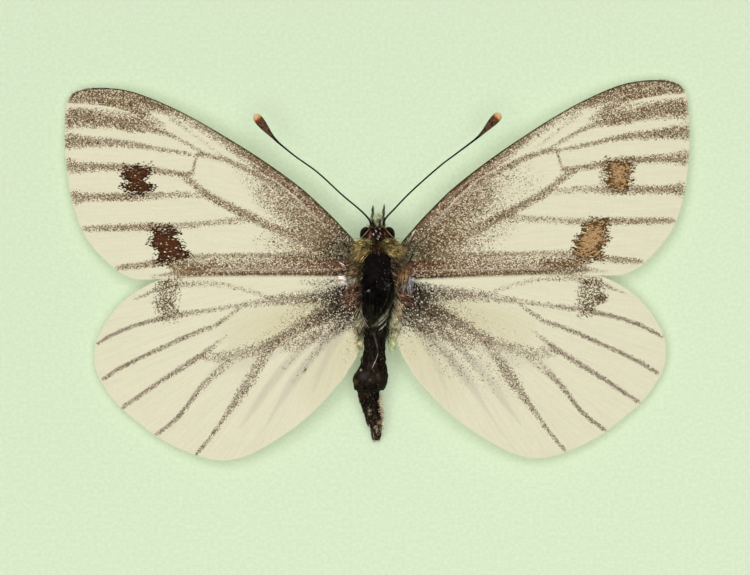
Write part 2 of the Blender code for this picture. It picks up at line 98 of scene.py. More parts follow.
# Each wing is drawn once, for the right side, about its hinge. The left wing is its mirror
# image. A stroke of its markings is a row of points (x, y, half width, strength), where the
# strength is the share of scales in the colour that the stroke belongs to.
FOREWING = {
    "hinge": (1.8, 0.8),
    "turn_deg": 1.03,
    "shift": (0.055, -0.115),
    "stretch": 0.0057,
    "root_reach": (2.0, 6.0),        # the root's own colours fade out between these distances
    "fringe": (10, 26),              # first and last point of the margin that has a fringe
    # where a dark line runs along the margin, or a painted shadow along the rear edge near the root: its
    # first and last point, and its strength
    "edge_line_and_shadow": ((1, 11, 1), (24, 25, 0.6), (26, 27, 0.95)),
    # how far the membrane reaches outside the CAD's margin, at some of its points
    "edge_out": (
        (0, 0), (1, -0.06), (1.5, -0.08), (2.5, -0.02), (3.2, 0.06), (5.5, 0.06), (6.2, 0.1), (8.5, 0.1),
        (9.5, 0.05), (10.5, 0), (23.5, 0), (24.5, 0.02), (27, 0.03), (28, 0),
    ),
    "margin": (
        (1.45, 1.7), (1.95, 2.45), (3.05, 3.65), (4.75, 5.2), (6.75, 6.8), (9.1, 8.45), (11.6, 10),
        (14.3, 11.5), (17, 12.65), (19, 13.05), (20.6, 13.08), (21.45, 12.75), (21.85, 12), (22, 10.3),
        (22, 8.4), (21.8, 6.5), (21.5, 4.8), (20.8, 2.85), (19.85, 1.5), (18.95, 0.6), (18.1, -0.08),
        (17, -0.48), (15.4, -0.47), (13.5, -0.38), (10.5, -0.34), (7, -0.38), (3.5, -0.48), (1.38, -0.5),
        (1.31, 0.2), (1.29, 1),
    ),
    "veins": (
        ((1.8, 1.9), (2.6, 2.75), (4.6, 4.7), (7, 6.7), (9.6, 8.45), (12.4, 10.2)),
        ((1.7, 1.4), (2.6, 2.2), (5.3, 4.6), (8.6, 6.9), (10.6, 7.85), (12.6, 8.42)),
        ((10.6, 7.85), (12.3, 9.2), (14, 10.6), (15.6, 11.8)),
        ((11.6, 8.2), (14.3, 9.7), (16.6, 10.37), (19.2, 10.95), (21.9, 11.15)),
        ((12.6, 8.42), (14.6, 8.65), (16.8, 9.1), (19, 9.36), (21.9, 9.46)),
        ((12.6, 8.42), (12.82, 7.6), (13.4, 6.9)),
        ((13.4, 6.9), (15.2, 7.25), (18, 7.56), (21.8, 7.62)),
        ((1.6, 0.7), (2.6, 0.95), (5, 1.65), (7.3, 2.72), (9.2, 3.95), (11.95, 5.55), (13.4, 6.9)),
        ((11.95, 5.55), (14.5, 5.53), (18, 5.48), (21.5, 5.45)),
        ((9.2, 3.95), (11, 3.62), (14.2, 3.3), (17.5, 3.26), (20.9, 3.26)),
        ((1.6, 0.55), (4.8, 1.2), (7.5, 1.02), (11.5, 1.15), (15.5, 0.75), (18.6, 0.42)),
        ((1.5, 0), (6, 0.02), (11, 0.06), (16, -0.2)),
    ),
    "dusk": {
        "costal edge": (
            (1.5, 1.7, 0.34, 0.95), (3.05, 3.6, 0.34, 0.88), (4.75, 5.15, 0.38, 0.92),
            (6.75, 6.72, 0.42, 0.95), (8, 7.55, 0.42, 0.9), (9.1, 8.33, 0.28, 0.76),
            (11.6, 9.92, 0.16, 0.48), (14.3, 11.42, 0.15, 0.38), (17, 12.57, 0.12, 0.44),
            (20.6, 13, 0.1, 0.55),
        ),
        "costal strip": (
            (4.6, 4.4, 0.28, 0.4), (6.4, 5.95, 0.28, 0.46), (8, 7.15, 0.28, 0.46), (9.4, 8.1, 0.25, 0.44),
            (10.6, 8.9, 0.2, 0.3), (12.2, 9.9, 0.15, 0.22), (14, 11, 0.2, 0.24),
        ),
        "base": (
            (1.2, 0.6, 1.3, 1), (2.4, 1.5, 1.15, 0.98), (3.6, 2.6, 1.25, 0.8), (4.9, 3.7, 1.3, 0.65),
            (6.2, 4.8, 1.35, 0.55), (7.3, 5.6, 1.2, 0.42), (8.4, 6.4, 0.85, 0.2), (9.6, 7, 0.5, 0.08),
        ),
        "base, behind the stem": (
            (2.2, 1.2, 0.9, 0.9), (4, 1.6, 0.8, 0.66), (5.4, 1.8, 0.85, 0.42), (6.8, 1.9, 0.8, 0.22),
            (8.2, 1.9, 0.75, 0.06),
        ),
        "radius": (
            (5.6, 5.5, 0.22, 0.3), (7.2, 6.3, 0.2, 0.34), (8.6, 6.92, 0.2, 0.42), (9.6, 7.42, 0.22, 0.44),
            (10.6, 7.86, 0.2, 0.42), (11.6, 8.16, 0.18, 0.4), (12.6, 8.3, 0.16, 0.38),
        ),
        "radius, last branch": (
            (11.9, 8.26, 0.12, 0.2), (12.6, 8.64, 0.13, 0.32), (13.3, 9.06, 0.14, 0.34),
            (14.2, 9.56, 0.14, 0.38), (14.9, 9.91, 0.18, 0.46), (15.7, 10.12, 0.24, 0.5),
            (16.6, 10.34, 0.34, 0.66), (17.4, 10.5, 0.42, 0.76), (18.3, 10.74, 0.44, 0.7),
            (19.4, 10.97, 0.52, 0.68), (20.6, 11.1, 0.6, 0.7), (21.9, 11.15, 0.66, 0.68),
        ),
        "behind the apex": (
            (14.9, 10.4, 0.12, 0.14), (15.6, 10.65, 0.3, 0.36), (16.5, 11.08, 0.44, 0.6),
            (17.4, 11.52, 0.44, 0.62), (18.6, 11.95, 0.36, 0.56), (19.8, 12.1, 0.26, 0.56),
        ),
        "apex": (
            (14.1, 11.22, 0.16, 0.4), (15.2, 11.66, 0.38, 0.6), (16.2, 12, 0.47, 0.68),
            (17.4, 12.33, 0.54, 0.68), (18.8, 12.55, 0.52, 0.58), (20.2, 12.6, 0.54, 0.62),
            (21.4, 12.45, 0.46, 0.62),
        ),
        "first median": (
            (12.7, 8.24, 0.13, 0.32), (13.6, 8.42, 0.14, 0.34), (14.6, 8.62, 0.15, 0.38),
            (15.7, 8.82, 0.16, 0.42), (16.8, 9.04, 0.19, 0.46), (18, 9.22, 0.25, 0.54),
            (19.5, 9.3, 0.3, 0.58), (20.8, 9.4, 0.38, 0.62), (21.9, 9.46, 0.54, 0.62),
        ),
        "second median": (
            (13, 6.92, 0.14, 0.36), (14.2, 7, 0.2, 0.44), (15.2, 7.18, 0.23, 0.52),
            (16.9, 7.42, 0.24, 0.58), (18.6, 7.54, 0.25, 0.56), (20.2, 7.57, 0.28, 0.52),
            (21.1, 7.6, 0.36, 0.52), (21.8, 7.64, 0.52, 0.48),
        ),
        "third median": (
            (11.6, 5.2, 0.14, 0.2), (12.7, 5.44, 0.2, 0.24), (14, 5.52, 0.22, 0.28),
            (15.6, 5.48, 0.25, 0.4), (17, 5.42, 0.28, 0.56), (18.6, 5.44, 0.27, 0.58),
            (20.2, 5.42, 0.26, 0.54), (20.9, 5.42, 0.32, 0.54), (21.45, 5.42, 0.46, 0.54),
        ),
        "end of the cell": (
            (12.6, 8.3, 0.09, 0.36), (12.82, 7.8, 0.09, 0.44), (12.95, 7.15, 0.1, 0.44),
            (13.3, 6.98, 0.12, 0.36),
        ),
        "cubital stem": (
            (3.8, 1.85, 0.3, 0.32), (5.2, 2.25, 0.32, 0.38), (6.4, 2.7, 0.32, 0.48), (7.5, 3.12, 0.3, 0.52),
            (9, 3.86, 0.31, 0.52), (10.2, 4.48, 0.28, 0.52), (11.4, 5.08, 0.27, 0.56),
            (12.4, 5.78, 0.24, 0.46), (13.1, 6.36, 0.24, 0.44), (13.8, 6.85, 0.22, 0.42),
        ),
        "first cubital": (
            (8.6, 3.66, 0.2, 0.22), (10, 3.58, 0.24, 0.28), (11.5, 3.46, 0.22, 0.28), (13, 3.34, 0.22, 0.3),
            (14.4, 3.22, 0.26, 0.38), (16.2, 3.26, 0.26, 0.58), (18, 3.23, 0.23, 0.55),
            (19.6, 3.23, 0.22, 0.5), (20.7, 3.2, 0.18, 0.44),
        ),
        "last cubital": (
            (4.8, 1.05, 0.25, 0.4), (7, 1.06, 0.22, 0.38), (9, 1.12, 0.16, 0.36), (11.5, 1.12, 0.16, 0.36),
            (13, 1.08, 0.2, 0.42), (13.9, 1, 0.22, 0.52),
        ),
        "behind the lower spot": (
            (15.3, 0.72, 0.24, 0.6), (16.1, 0.64, 0.23, 0.54), (17, 0.52, 0.21, 0.5),
            (18, 0.44, 0.19, 0.45), (18.5, 0.4, 0.14, 0.36),
        ),
        "rear band": (
            (1.6, 0.28, 0.7, 1), (3.2, 0.3, 0.7, 0.92), (5, 0.28, 0.68, 0.72), (7, 0.3, 0.68, 0.56),
            (8.6, 0.27, 0.66, 0.49), (10.2, 0.26, 0.64, 0.45), (11.6, 0.26, 0.62, 0.48),
        ),
        "rear band's end": (
            (12, 0.26, 0.5, 0.58), (12.6, 0.2, 0.56, 0.76), (13.4, 0.22, 0.58, 0.84),
            (14.1, 0.34, 0.52, 0.74), (14.6, 0.58, 0.32, 0.55),
        ),
        "rear edge": (
            (1.6, -0.34, 0.24, 0.95), (4, -0.3, 0.24, 0.8), (8, -0.27, 0.24, 0.76), (11, -0.26, 0.24, 0.72),
            (13.6, -0.24, 0.22, 0.64), (14.6, -0.1, 0.18, 0.38), (16, -0.25, 0.12, 0.14),
        ),
        "between the costal veins": (
            (10.6, 8, 0.1, 0.06), (11.8, 8.9, 0.12, 0.14), (13.2, 10, 0.13, 0.14), (14.4, 10.9, 0.18, 0.18),
        ),
    },
    "pale": {
        "apical streak": (
            (16.9, 11.12, 0.06, 0.3), (17.6, 11.42, 0.08, 0.55), (18.6, 11.7, 0.09, 0.85),
            (19.6, 11.86, 0.1, 0.95), (20.6, 11.93, 0.11, 0.95), (21.8, 12, 0.12, 0.95),
        ),
        "line on the radius": (
            (2.6, 1.9, 0.05, 0.05), (3.6, 2.95, 0.06, 0.1), (4.7, 4.06, 0.06, 0.36),
            (5.7, 5.12, 0.06, 0.52), (7.05, 6.28, 0.06, 0.55), (8.5, 7.1, 0.05, 0.3),
        ),
        "line on the subcosta": (
            (4.6, 4.7, 0.05, 0.1), (6, 5.9, 0.06, 0.16), (7.6, 6.95, 0.06, 0.16), (9.2, 7.9, 0.06, 0.4),
            (10.4, 8.4, 0.05, 0.3),
        ),
        "line before the rear edge": (
            (2.4, 0.02, 0.05, 0.15), (5, 0.03, 0.05, 0.2), (9, 0.04, 0.05, 0.24), (12, 0.06, 0.05, 0.12),
        ),
    },
    "shade": {},
    "yellow": {},
    "rust": {
        "costal strip": (
            (2.6, 2.7, 0.35, 0.2), (4.5, 4.4, 0.4, 0.4), (7, 6.25, 0.35, 0.45), (9, 7.65, 0.25, 0.35),
            (10.4, 8.5, 0.15, 0.1),
        ),
        "rear band": (
            (1.6, 0.2, 0.5, 0.85), (3.4, 0.2, 0.5, 0.85), (4.8, 0.22, 0.45, 0.55), (6.6, 0.3, 0.45, 0.48),
            (9, 0.35, 0.48, 0.46), (12, 0.36, 0.48, 0.4),
        ),
    },
    "under_yellow": (14.0, 20.0),    # below, it turns yellow between these places in x
    "flow_centre": None,
    "grain_turn_deg": 0.0,
}
HINDWING = {
    "hinge": (1.6, -1.4),
    "turn_deg": 0.455,
    "shift": (0.12, 0.055),
    "stretch": 0.0038,
    "root_reach": (3.0, 7.0),
    "fringe": (5, 31),
    "edge_line_and_shadow": (),
    "edge_out": ((0, 0),),
    "margin": (
        (1.42, -0.62), (2.6, 0.05), (4.5, 0.5), (7, 0.72), (10, 0.6), (13, 0.2), (15.5, -0.55),
        (16.9, -1.2), (18, -1.98), (18.8, -2.8), (19.5, -3.85), (20.03, -4.95), (20.15, -6.1),
        (19.92, -7.2), (19.35, -8.25), (18.4, -9.45), (17.3, -10.4), (16.1, -11.35), (14.9, -12.1),
        (13.6, -12.7), (12.2, -13.18), (10.9, -13.32), (9.6, -13.05), (8.2, -12.4), (6.9, -11.6),
        (5.75, -10.8), (4.6, -9.8), (3.75, -8.93), (3.15, -8.25), (2.62, -7.65), (2.2, -7), (1.76, -6.3),
        (1.42, -5.6), (1.22, -5), (1.2, -4.2), (1.28, -3.3), (1.36, -2.4), (1.38, -1.5),
    ),
    "veins": (
        ((2.4, -0.75), (5.5, -0.95), (8.6, -1), (11.3, -0.8), (15.4, -1.15), (17.9, -2.1)),
        ((1.5, -1.1), (2.4, -1.3), (5.2, -1.75), (8.2, -2.15), (10.1, -2.45)),
        ((10.1, -2.45), (12.6, -2.7), (15.55, -3.22), (17.5, -3.72), (20, -4.95)),
        ((10.1, -2.45), (11.4, -3.6), (13.8, -4.48), (16.5, -5.7), (19.8, -7.5)),
        ((11.4, -3.6), (11.4, -4.9), (11.1, -6.1)),
        ((11.4, -4.9), (13, -6.07), (15.7, -7.78), (18.4, -9.55)),
        ((1.5, -1.9), (2.6, -2.45), (5.7, -3.9), (8.4, -5.35), (11.1, -6.1)),
        ((11.1, -6.1), (12.8, -8.2), (14.05, -9.95), (16.1, -11.6)),
        ((8.4, -5.35), (9.15, -7.45), (10.5, -9.35), (13.1, -12.9)),
        ((1.5, -2.3), (2.3, -2.9), (5.95, -5.95), (8, -8.1), (10.3, -11.8)),
        ((1.5, -2.7), (2.1, -3.3), (4.2, -5.6), (6.55, -8.3), (8.9, -12.3)),
    ),
    "dusk": {
        "root": (
            (0.6, -1.5, 0.8, 1), (1.3, -1.95, 0.75, 1), (2.4, -2.38, 0.74, 0.95), (3.4, -2.82, 0.62, 0.88),
            (4.3, -3.22, 0.5, 0.8), (5.2, -3.66, 0.42, 0.66), (6.2, -4.26, 0.4, 0.54),
            (7.2, -4.84, 0.38, 0.52), (8, -5.22, 0.36, 0.42), (9, -5.54, 0.38, 0.34),
            (10.2, -5.82, 0.4, 0.26), (11.3, -5.98, 0.38, 0.26), (12.2, -5.9, 0.35, 0.26),
        ),
        "root, rear": (
            (0.8, -2.6, 0.6, 0.95), (1.5, -3.1, 0.6, 0.76), (2.3, -3.6, 0.52, 0.48),
            (3.5, -4.25, 0.4, 0.34), (5, -4.75, 0.4, 0.32), (6.4, -5.3, 0.35, 0.26),
        ),
        "upper band": (
            (1.2, -1.1, 0.45, 1), (2.4, -1.55, 0.46, 0.92), (3.4, -1.8, 0.42, 0.66), (5, -1.88, 0.36, 0.58),
            (6.6, -1.97, 0.32, 0.44), (8, -2.07, 0.28, 0.32), (9.4, -2.25, 0.24, 0.24),
        ),
        "upper band's edge": (
            (2.4, -1.1, 0.2, 0.6), (4, -1.35, 0.25, 0.26), (6, -1.55, 0.25, 0.2), (7.6, -1.75, 0.2, 0.16),
        ),
        "subcosta": (
            (7.6, -1.8, 0.16, 0.16), (8.5, -1.5, 0.16, 0.2), (9.5, -1.18, 0.16, 0.2),
            (10.5, -0.92, 0.16, 0.2), (12, -0.72, 0.2, 0.2), (13.6, -0.76, 0.24, 0.26),
            (14.8, -0.9, 0.22, 0.36), (15.6, -1.1, 0.18, 0.4), (16.3, -1.42, 0.12, 0.32),
            (17.3, -1.86, 0.08, 0.16),
        ),
        "radius": (
            (9.4, -2.25, 0.17, 0.22), (11.3, -2.54, 0.17, 0.27), (12.6, -2.74, 0.17, 0.34),
            (13.9, -2.9, 0.19, 0.43), (15.2, -3.16, 0.17, 0.63), (16.2, -3.38, 0.14, 0.52),
            (17.2, -3.66, 0.13, 0.56), (18.3, -4.06, 0.13, 0.58), (19.2, -4.5, 0.12, 0.54),
            (19.9, -4.92, 0.09, 0.43),
        ),
        "first median": (
            (9.9, -2.55, 0.15, 0.22), (10.8, -3.2, 0.14, 0.34), (11.6, -3.76, 0.17, 0.34),
            (12.5, -4.06, 0.16, 0.38), (13.8, -4.56, 0.15, 0.49), (15.5, -5.34, 0.14, 0.52),
            (17.2, -6.11, 0.13, 0.56), (18.5, -6.77, 0.14, 0.65), (19.55, -7.46, 0.11, 0.56),
        ),
        "second median": (
            (10.8, -4.45, 0.1, 0.11), (11.8, -5.25, 0.17, 0.31), (12.4, -5.7, 0.19, 0.47),
            (13.2, -6.24, 0.19, 0.52), (14.4, -7, 0.17, 0.52), (15.7, -7.8, 0.14, 0.52),
            (17, -8.68, 0.14, 0.56), (18.15, -9.45, 0.13, 0.52),
        ),
        "third median": (
            (10.6, -6.3, 0.26, 0.2), (11.5, -7.05, 0.24, 0.27), (12.2, -7.7, 0.21, 0.38),
            (12.85, -8.38, 0.18, 0.47), (13.45, -9.2, 0.15, 0.52), (14.1, -10.03, 0.14, 0.56),
            (14.9, -10.78, 0.14, 0.56), (15.8, -11.4, 0.13, 0.49),
        ),
        "first cubital": (
            (7.4, -5.05, 0.24, 0.34), (8.15, -6, 0.31, 0.45), (8.85, -7.1, 0.36, 0.43),
            (9.62, -8.3, 0.34, 0.45), (10.25, -9.25, 0.26, 0.43), (11.02, -10.3, 0.14, 0.45),
            (11.95, -11.62, 0.13, 0.47), (12.95, -12.8, 0.11, 0.47),
        ),
        "inner corner": ((1.3, -3.4, 0.4, 0.24), (1.6, -4.6, 0.5, 0.08), (2.2, -6, 0.6, 0.04)),
        "scatter round the root": (
            (2.6, -2.3, 1.2, 0.22), (5, -3.4, 1.3, 0.18), (7, -4.5, 1, 0.06), (9.5, -5.4, 0.9, 0.03),
        ),
        "folds": (
            (2.6, -3.8, 0.3, 0.24), (3.55, -4.65, 0.24, 0.2), (4.9, -6.15, 0.22, 0.14),
            (6.1, -7.72, 0.18, 0.08),
        ),
        "outer fold": ((4.3, -4.2, 0.24, 0.2), (5.5, -5.42, 0.22, 0.14), (6.75, -6.7, 0.2, 0.08)),
    },
    "pale": {},
    # painted shade along the folds
    "shade": {
        "second cubital": (
            (4.3, -4.2, 0.3, 0.34), (5.5, -5.42, 0.32, 0.34), (6.75, -6.7, 0.3, 0.34),
            (7.9, -8.1, 0.28, 0.3), (8.75, -9.4, 0.22, 0.26), (9.4, -10.3, 0.14, 0.22),
            (9.95, -11, 0.08, 0.16),
        ),
        "first anal": (
            (2.4, -3.6, 0.32, 0.5), (3.55, -4.65, 0.32, 0.44), (4.9, -6.15, 0.34, 0.38),
            (6.1, -7.72, 0.32, 0.36), (6.95, -9, 0.2, 0.26), (7.9, -10.6, 0.08, 0.14),
            (8.9, -12.05, 0.05, 0.08),
        ),
        "second anal": (
            (2.6, -4.2, 0.3, 0.32), (3.4, -5.4, 0.28, 0.28), (4.1, -6.9, 0.22, 0.22),
            (4.7, -8.5, 0.1, 0.12),
        ),
        "behind the cell": (
            (7, -5.4, 0.4, 0.18), (9, -6.2, 0.5, 0.18), (11, -6.6, 0.5, 0.16), (12, -7.4, 0.3, 0.1),
        ),
    },
    "yellow": {
        "cell": ((4.5, -2.7, 0.9, 0.75), (7, -3.6, 1.2, 0.8), (10, -4.4, 1.2, 0.4)),
        "inner part": ((2.4, -5.5, 1.2, 0.7), (4.2, -8.5, 1.4, 0.35)),
    },
    "rust": {
        "root": ((1.2, -2.1, 0.35, 0.4), (2.2, -2.35, 0.3, 0.15)),
    },
    "under_yellow": (-1.0, 0.0),
    "flow_centre": (1.6, 0.0),
    "grain_turn_deg": 35.0,
}
# Marks that only one side has, on top of the mirrored ones.
ONE_SIDED = {
    "right_forewing": {
        "dusk": {
            "dot in the costal field": ((9.25, 7.35, 0.12, 0.85), (9.45, 7.18, 0.1, 0.8)),
            "line at the root": ((1.95, 2.05, 0.05, 0.95), (2.42, 2.8, 0.05, 0.95)),
            "cell": ((7.5, 5.2, 1.2, 0.1), (10.5, 6.3, 1.1, 0.08)),
            "middle": ((4.5, 2.4, 1.4, 0.16), (8.5, 3.6, 1.2, 0.18)),
            "beside the outer spot": ((16, 7.2, 0.35, 0.34), (16.05, 6.1, 0.35, 0.34)),
        },
        "pale": {
            # painted highlight: a thin glint along the root
            "line at the root": ((2.2, 2.08, 0.03, 0.7), (2.62, 2.84, 0.03, 0.95)),
        },
    },
    "left_forewing": {
        "pale": {
            "base": ((4.6, 2.4, 0.5, 0.1), (5.2, 2.5, 0.5, 0.08)),
            "cell": ((7.3, 5, 0.5, 0.1), (7.7, 5.2, 0.5, 0.08)),
        },
    },
    "right_hindwing": {
        "dusk": {
            "root": ((1.4, -2.3, 1.3, 0.24), (2.8, -3.3, 1.2, 0.26), (3.7, -3.7, 0.8, 0.42)),
            "fold": ((3.4, -4.6, 0.6, 0.16), (3.6, -5.4, 0.5, 0.12)),
            "middle": ((5.5, -6, 1.6, 0.12), (8.5, -7.4, 1.4, 0.08)),
            "patch": ((15.4, -2.16, 0.2, 0.9), (15.8, -2.2, 0.2, 0.9)),
        },
        "pale": {
            "stem of the cubitals": ((8.3, -5.7, 0.5, 0.24), (9, -6.4, 0.4, 0.16)),
            "cell": ((6.5, -3.6, 0.8, 0.05), (10, -5, 0.8, 0.08)),
        },
    },
    "left_hindwing": {
        "dusk": {
            "root": ((1.4, -2, 1.5, 0.16), (3, -2.6, 1, 0.08)),
            "outer lobe": ((15.2, -2.2, 0.16, 0.55), (15.65, -2.45, 0.14, 0.5)),
            "blot": ((5.2, -6.85, 0.06, 0.9), (5.3, -7.12, 0.05, 0.85)),
            # painted shadow of the forewing's rear edge on the hindwing
            "painted shadow under the forewing": ((2.2, -0.75, 0.35, 0.28), (4.4, -0.85, 0.32, 0.18), (5.6, -0.8, 0.2, 0.06)),
        },
    },
}
# Each wing's spots, seen where they lie: rows of (y, inner end, outer end), from the middle line.
SPOTS = {
    "right_forewing": (
        (
            (5.66, 16.6, 17.5), (6, 16.24, 17.74), (6.35, 16.18, 17.97), (6.54, 16.32, 17.86),
            (6.7, 16.38, 17.82), (7.06, 16.1, 18.05), (7.41, 16.2, 17.98), (7.72, 16.35, 17.8),
        ),
        (
            (0.8, 14.2, 15.7), (1.07, 14, 15.88), (1.42, 13.82, 15.76), (1.77, 14.05, 15.98),
            (2.13, 13.96, 16.33), (2.48, 14.3, 16.2), (2.83, 14.68, 16.08), (3.18, 14.48, 16.27),
            (3.36, 14.8, 16.34), (3.48, 15.3, 16.2),
        ),
    ),
    "left_forewing": (
        (
            (5.38, 16.4, 17.25), (5.52, 16.08, 17.55), (5.7, 15.76, 17.84), (5.88, 15.6, 18.02),
            (6.12, 15.96, 17.92), (6.27, 16.34, 17.58), (6.43, 16.2, 17.72), (6.66, 16.06, 18.08),
            (6.9, 15.9, 17.96), (7.15, 15.92, 17.86), (7.32, 16.05, 17.68),
        ),
        (
            (0.48, 14.75, 15.5), (0.66, 13.95, 15.56), (0.95, 13.14, 15.5), (1.25, 13.2, 15.42),
            (1.54, 13.78, 15.54), (1.72, 13.54, 16.1), (2.13, 13.84, 15.96), (2.33, 14.36, 15.86),
            (2.54, 13.95, 15.78), (2.77, 14.08, 15.88), (3.04, 14.3, 15.86),
        ),
    ),
    "right_hindwing": (
        (
            (-3.1, 14.4, 14.95), (-2.8, 14.45, 15.35), (-2.45, 14.3, 15.65), (-2.1, 14.22, 16.12),
            (-1.7, 14.28, 15.98), (-1.35, 14.28, 15.88), (-1, 14.35, 15.75), (-0.72, 14.45, 15.55),
        ),
    ),
    "left_hindwing": (
        ((-3.45, 14.2, 15.3), (-2.8, 14.1, 15.5), (-2, 14.1, 15.5), (-1.2, 14.1, 15.4), (-0.6, 14, 15.8)),
    ),
}
# A forewing's spot: most of its scales, and those near its edge
SPOT_COLOURS = {1: ((175, 141, 98), (86, 62, 30)), -1: ((80, 44, 18), (52, 31, 12))}
SPOT_HIND = (86, 66, 40)
SPOT_CHANCE = {1: 1.20, -1: 1.02}    # how closely a spot's own scales stand, right and left
MARK_SHIFT_Y = {1: 0.03, -1: -0.05}  # the two sides' markings aren't quite level

# Colours of the wings, sRGB
CREAM = (228, 223, 193)
CREAM_YELLOW = (214, 207, 168)
# painted shade along the hindwing's folds
FOLD_SHADE = (170, 160, 147)
DUSK_ROOT = {"forewing": (54, 48, 28), "hindwing": (22, 15, 11)}
DUSK_OUTER = {"forewing": (86, 64, 36), "hindwing": (92, 74, 52)}
RUST = (78, 42, 26)
RUST_GROUND = (166, 120, 92)
ROOT_GROUND = {"forewing": (154, 148, 112), "hindwing": (98, 88, 70)}
DUSK_GROUND = {"forewing": (168, 144, 110), "hindwing": (162, 142, 116)}
VEIN_GROUND = {"forewing": (148, 132, 112), "hindwing": (146, 132, 118)}
PALE_SCALE = (228, 217, 192)
SCALE_SIZE = 0.060                   # of one scale across
SCALE_LENGTH = 1.15                  # along, for each unit across
PATTERN_STEP = 37.0                  # from one wing's part of the endless pattern to the next one's
UNDER_STEP = 50.0                    # and from the upper side's to the under side's
FLOW_CENTRE_RADIUS = 12.0            # the hindwing's rows of scales are in true scale this far out
FLOW_STRAIGHT_X = 13.0               # the forewing's rows bend on the body's side of this
FLOW_BEND = 1.7
FLOW_BEND_Y = (-0.4, 7.0)            # from where the bend sets in, and over what height
UNDER_SHARES = {"dusk": 0.30, "shade": 0.5, "pale": 0.0, "rust": 0.3}
UNDER_DUST = 0.22
UNDER_DUST_FADE = (0.1, 0.55)        # distances from a vein
UNDER_SPOT_INSET = 0.15
LIT_AT_ROOT = {"forewing": 0.62, "hindwing": 0.85}      # how bright single pale scales are there
RAGGED = (-0.42, 0.32)               # a spot's scales thin out between these depths inside its edge
SPOT_SCALE = (8.5, 15.0)             # scales of a spot in a millimetre, along and across
EDGE_LINE_AND_SHADOW = (34, 27, 4)              # along the leading edge, and the painted shadow along the forewing's rear edge
FRINGE_PALE = (232, 224, 198)

# ---------------------------------------------------------------- body, as in the CAD
# Each station across the body: y, middle x, half width, middle z, half height
HEAD = (
    (1.93, 0.03, 0.42, 2.42, 0.42), (2.08, 0.03, 0.66, 2.45, 0.58), (2.4, 0.03, 0.8, 2.48, 0.68),
    (2.75, 0.03, 0.76, 2.48, 0.66), (3, 0.03, 0.56, 2.45, 0.52), (3.14, 0.03, 0.3, 2.42, 0.3),
)
THORAX = (
    (1.88, 0.03, 0.48, 2.42, 0.48), (1.7, 0.03, 0.8, 2.48, 0.82), (1.3, 0.03, 1.08, 2.55, 1.2),
    (0.6, 0.05, 1.26, 2.6, 1.55), (-0.4, 0.06, 1.31, 2.56, 1.72), (-1.5, 0.08, 1.31, 2.5, 1.72),
    (-2.5, 0.06, 1.24, 2.45, 1.55), (-3.4, 0, 1.08, 2.4, 1.26), (-4.1, -0.07, 0.88, 2.36, 1.02),
    (-4.5, -0.13, 0.62, 2.34, 0.76),
)
# The abdomen has shrivelled: it swells, steps in, and its tip bends back to the middle.
ABDOMEN = (
    (-4.56, -0.15, 0.6, 2.33, 0.74), (-4.72, -0.16, 0.78, 2.3, 0.88), (-5.5, -0.16, 0.8, 2.22, 0.9),
    (-5.62, -0.17, 0.76, 2.2, 0.86), (-6.3, -0.23, 0.91, 2.08, 0.98), (-6.45, -0.25, 0.88, 2.05, 0.95),
    (-7.05, -0.33, 1.1, 1.92, 1.08), (-7.55, -0.45, 1.26, 1.8, 1.14), (-8.05, -0.49, 1.21, 1.66, 1.1),
    (-8.42, -0.55, 1.06, 1.55, 1), (-8.52, -0.6, 0.82, 1.48, 0.82), (-9.15, -0.55, 0.73, 1.28, 0.76),
    (-9.27, -0.52, 0.69, 1.24, 0.72), (-10, -0.36, 0.65, 1.02, 0.66), (-10.12, -0.32, 0.61, 0.99, 0.62),
    (-10.85, -0.14, 0.57, 0.78, 0.56), (-11.02, -0.06, 0.44, 0.72, 0.46), (-11.45, -0.06, 0.4, 0.56, 0.42),
    (-11.8, -0.07, 0.31, 0.37, 0.36), (-12.02, -0.06, 0.14, 0.26, 0.2),
)

EYE_CENTRE = (0.80, 2.50, 2.46)      # from the head's own middle, on its right side
EYE_RADII = (0.44, 0.56, 0.60)
HEAD_MIDDLE_X = 0.03
EYE_RINGS = 28
EYE_SIDES = 44

# ---------------------------------------------------------------- head's appendages
# Each antenna: point and radius, from the head outward. The club is near the end.
LEFT_ANTENNA = (
    (-0.41, 3.05, 2.87, 0.105), (-0.55, 3.55, 3.08, 0.08), (-1.2, 4.24, 3.18, 0.068),
    (-2.46, 5.3, 3.28, 0.066), (-4.15, 6.85, 3.3, 0.066), (-5.7, 7.97, 3.24, 0.066),
    (-6.85, 8.9, 3.15, 0.085), (-7.42, 9.48, 3.09, 0.155), (-7.78, 9.9, 3.05, 0.265),
    (-8.06, 10.25, 3.02, 0.345), (-8.32, 10.58, 2.99, 0.365), (-8.5, 10.83, 2.97, 0.29),
    (-8.58, 10.96, 2.96, 0.16),
)
RIGHT_ANTENNA = (
    (0.47, 3.05, 2.87, 0.105), (0.57, 3.58, 3.08, 0.08), (1.2, 4.28, 3.18, 0.068),
    (2.46, 5.58, 3.28, 0.066), (4.37, 7.27, 3.3, 0.066), (5.56, 8.18, 3.24, 0.066),
    (6.9, 9.19, 3.15, 0.085), (7.45, 9.7, 3.09, 0.155), (7.82, 10.1, 3.05, 0.265),
    (8.12, 10.42, 3.02, 0.345), (8.4, 10.72, 2.99, 0.365), (8.58, 10.92, 2.97, 0.29),
    (8.66, 11.02, 2.96, 0.16),
)
# Each palp: point and radius, from the mouth outward
LEFT_PALP = (
    (-0.22, 3.22, 2.2, 0.13), (-0.27, 3.55, 2.36, 0.14), (-0.29, 3.95, 2.58, 0.11),
    (-0.29, 4.3, 2.74, 0.07), (-0.28, 4.5, 2.8, 0.04),
)
RIGHT_PALP = (
    (0.3, 3.22, 2.2, 0.13), (0.39, 3.55, 2.36, 0.14), (0.45, 3.95, 2.58, 0.11), (0.48, 4.3, 2.74, 0.07),
    (0.49, 4.5, 2.8, 0.04),
)
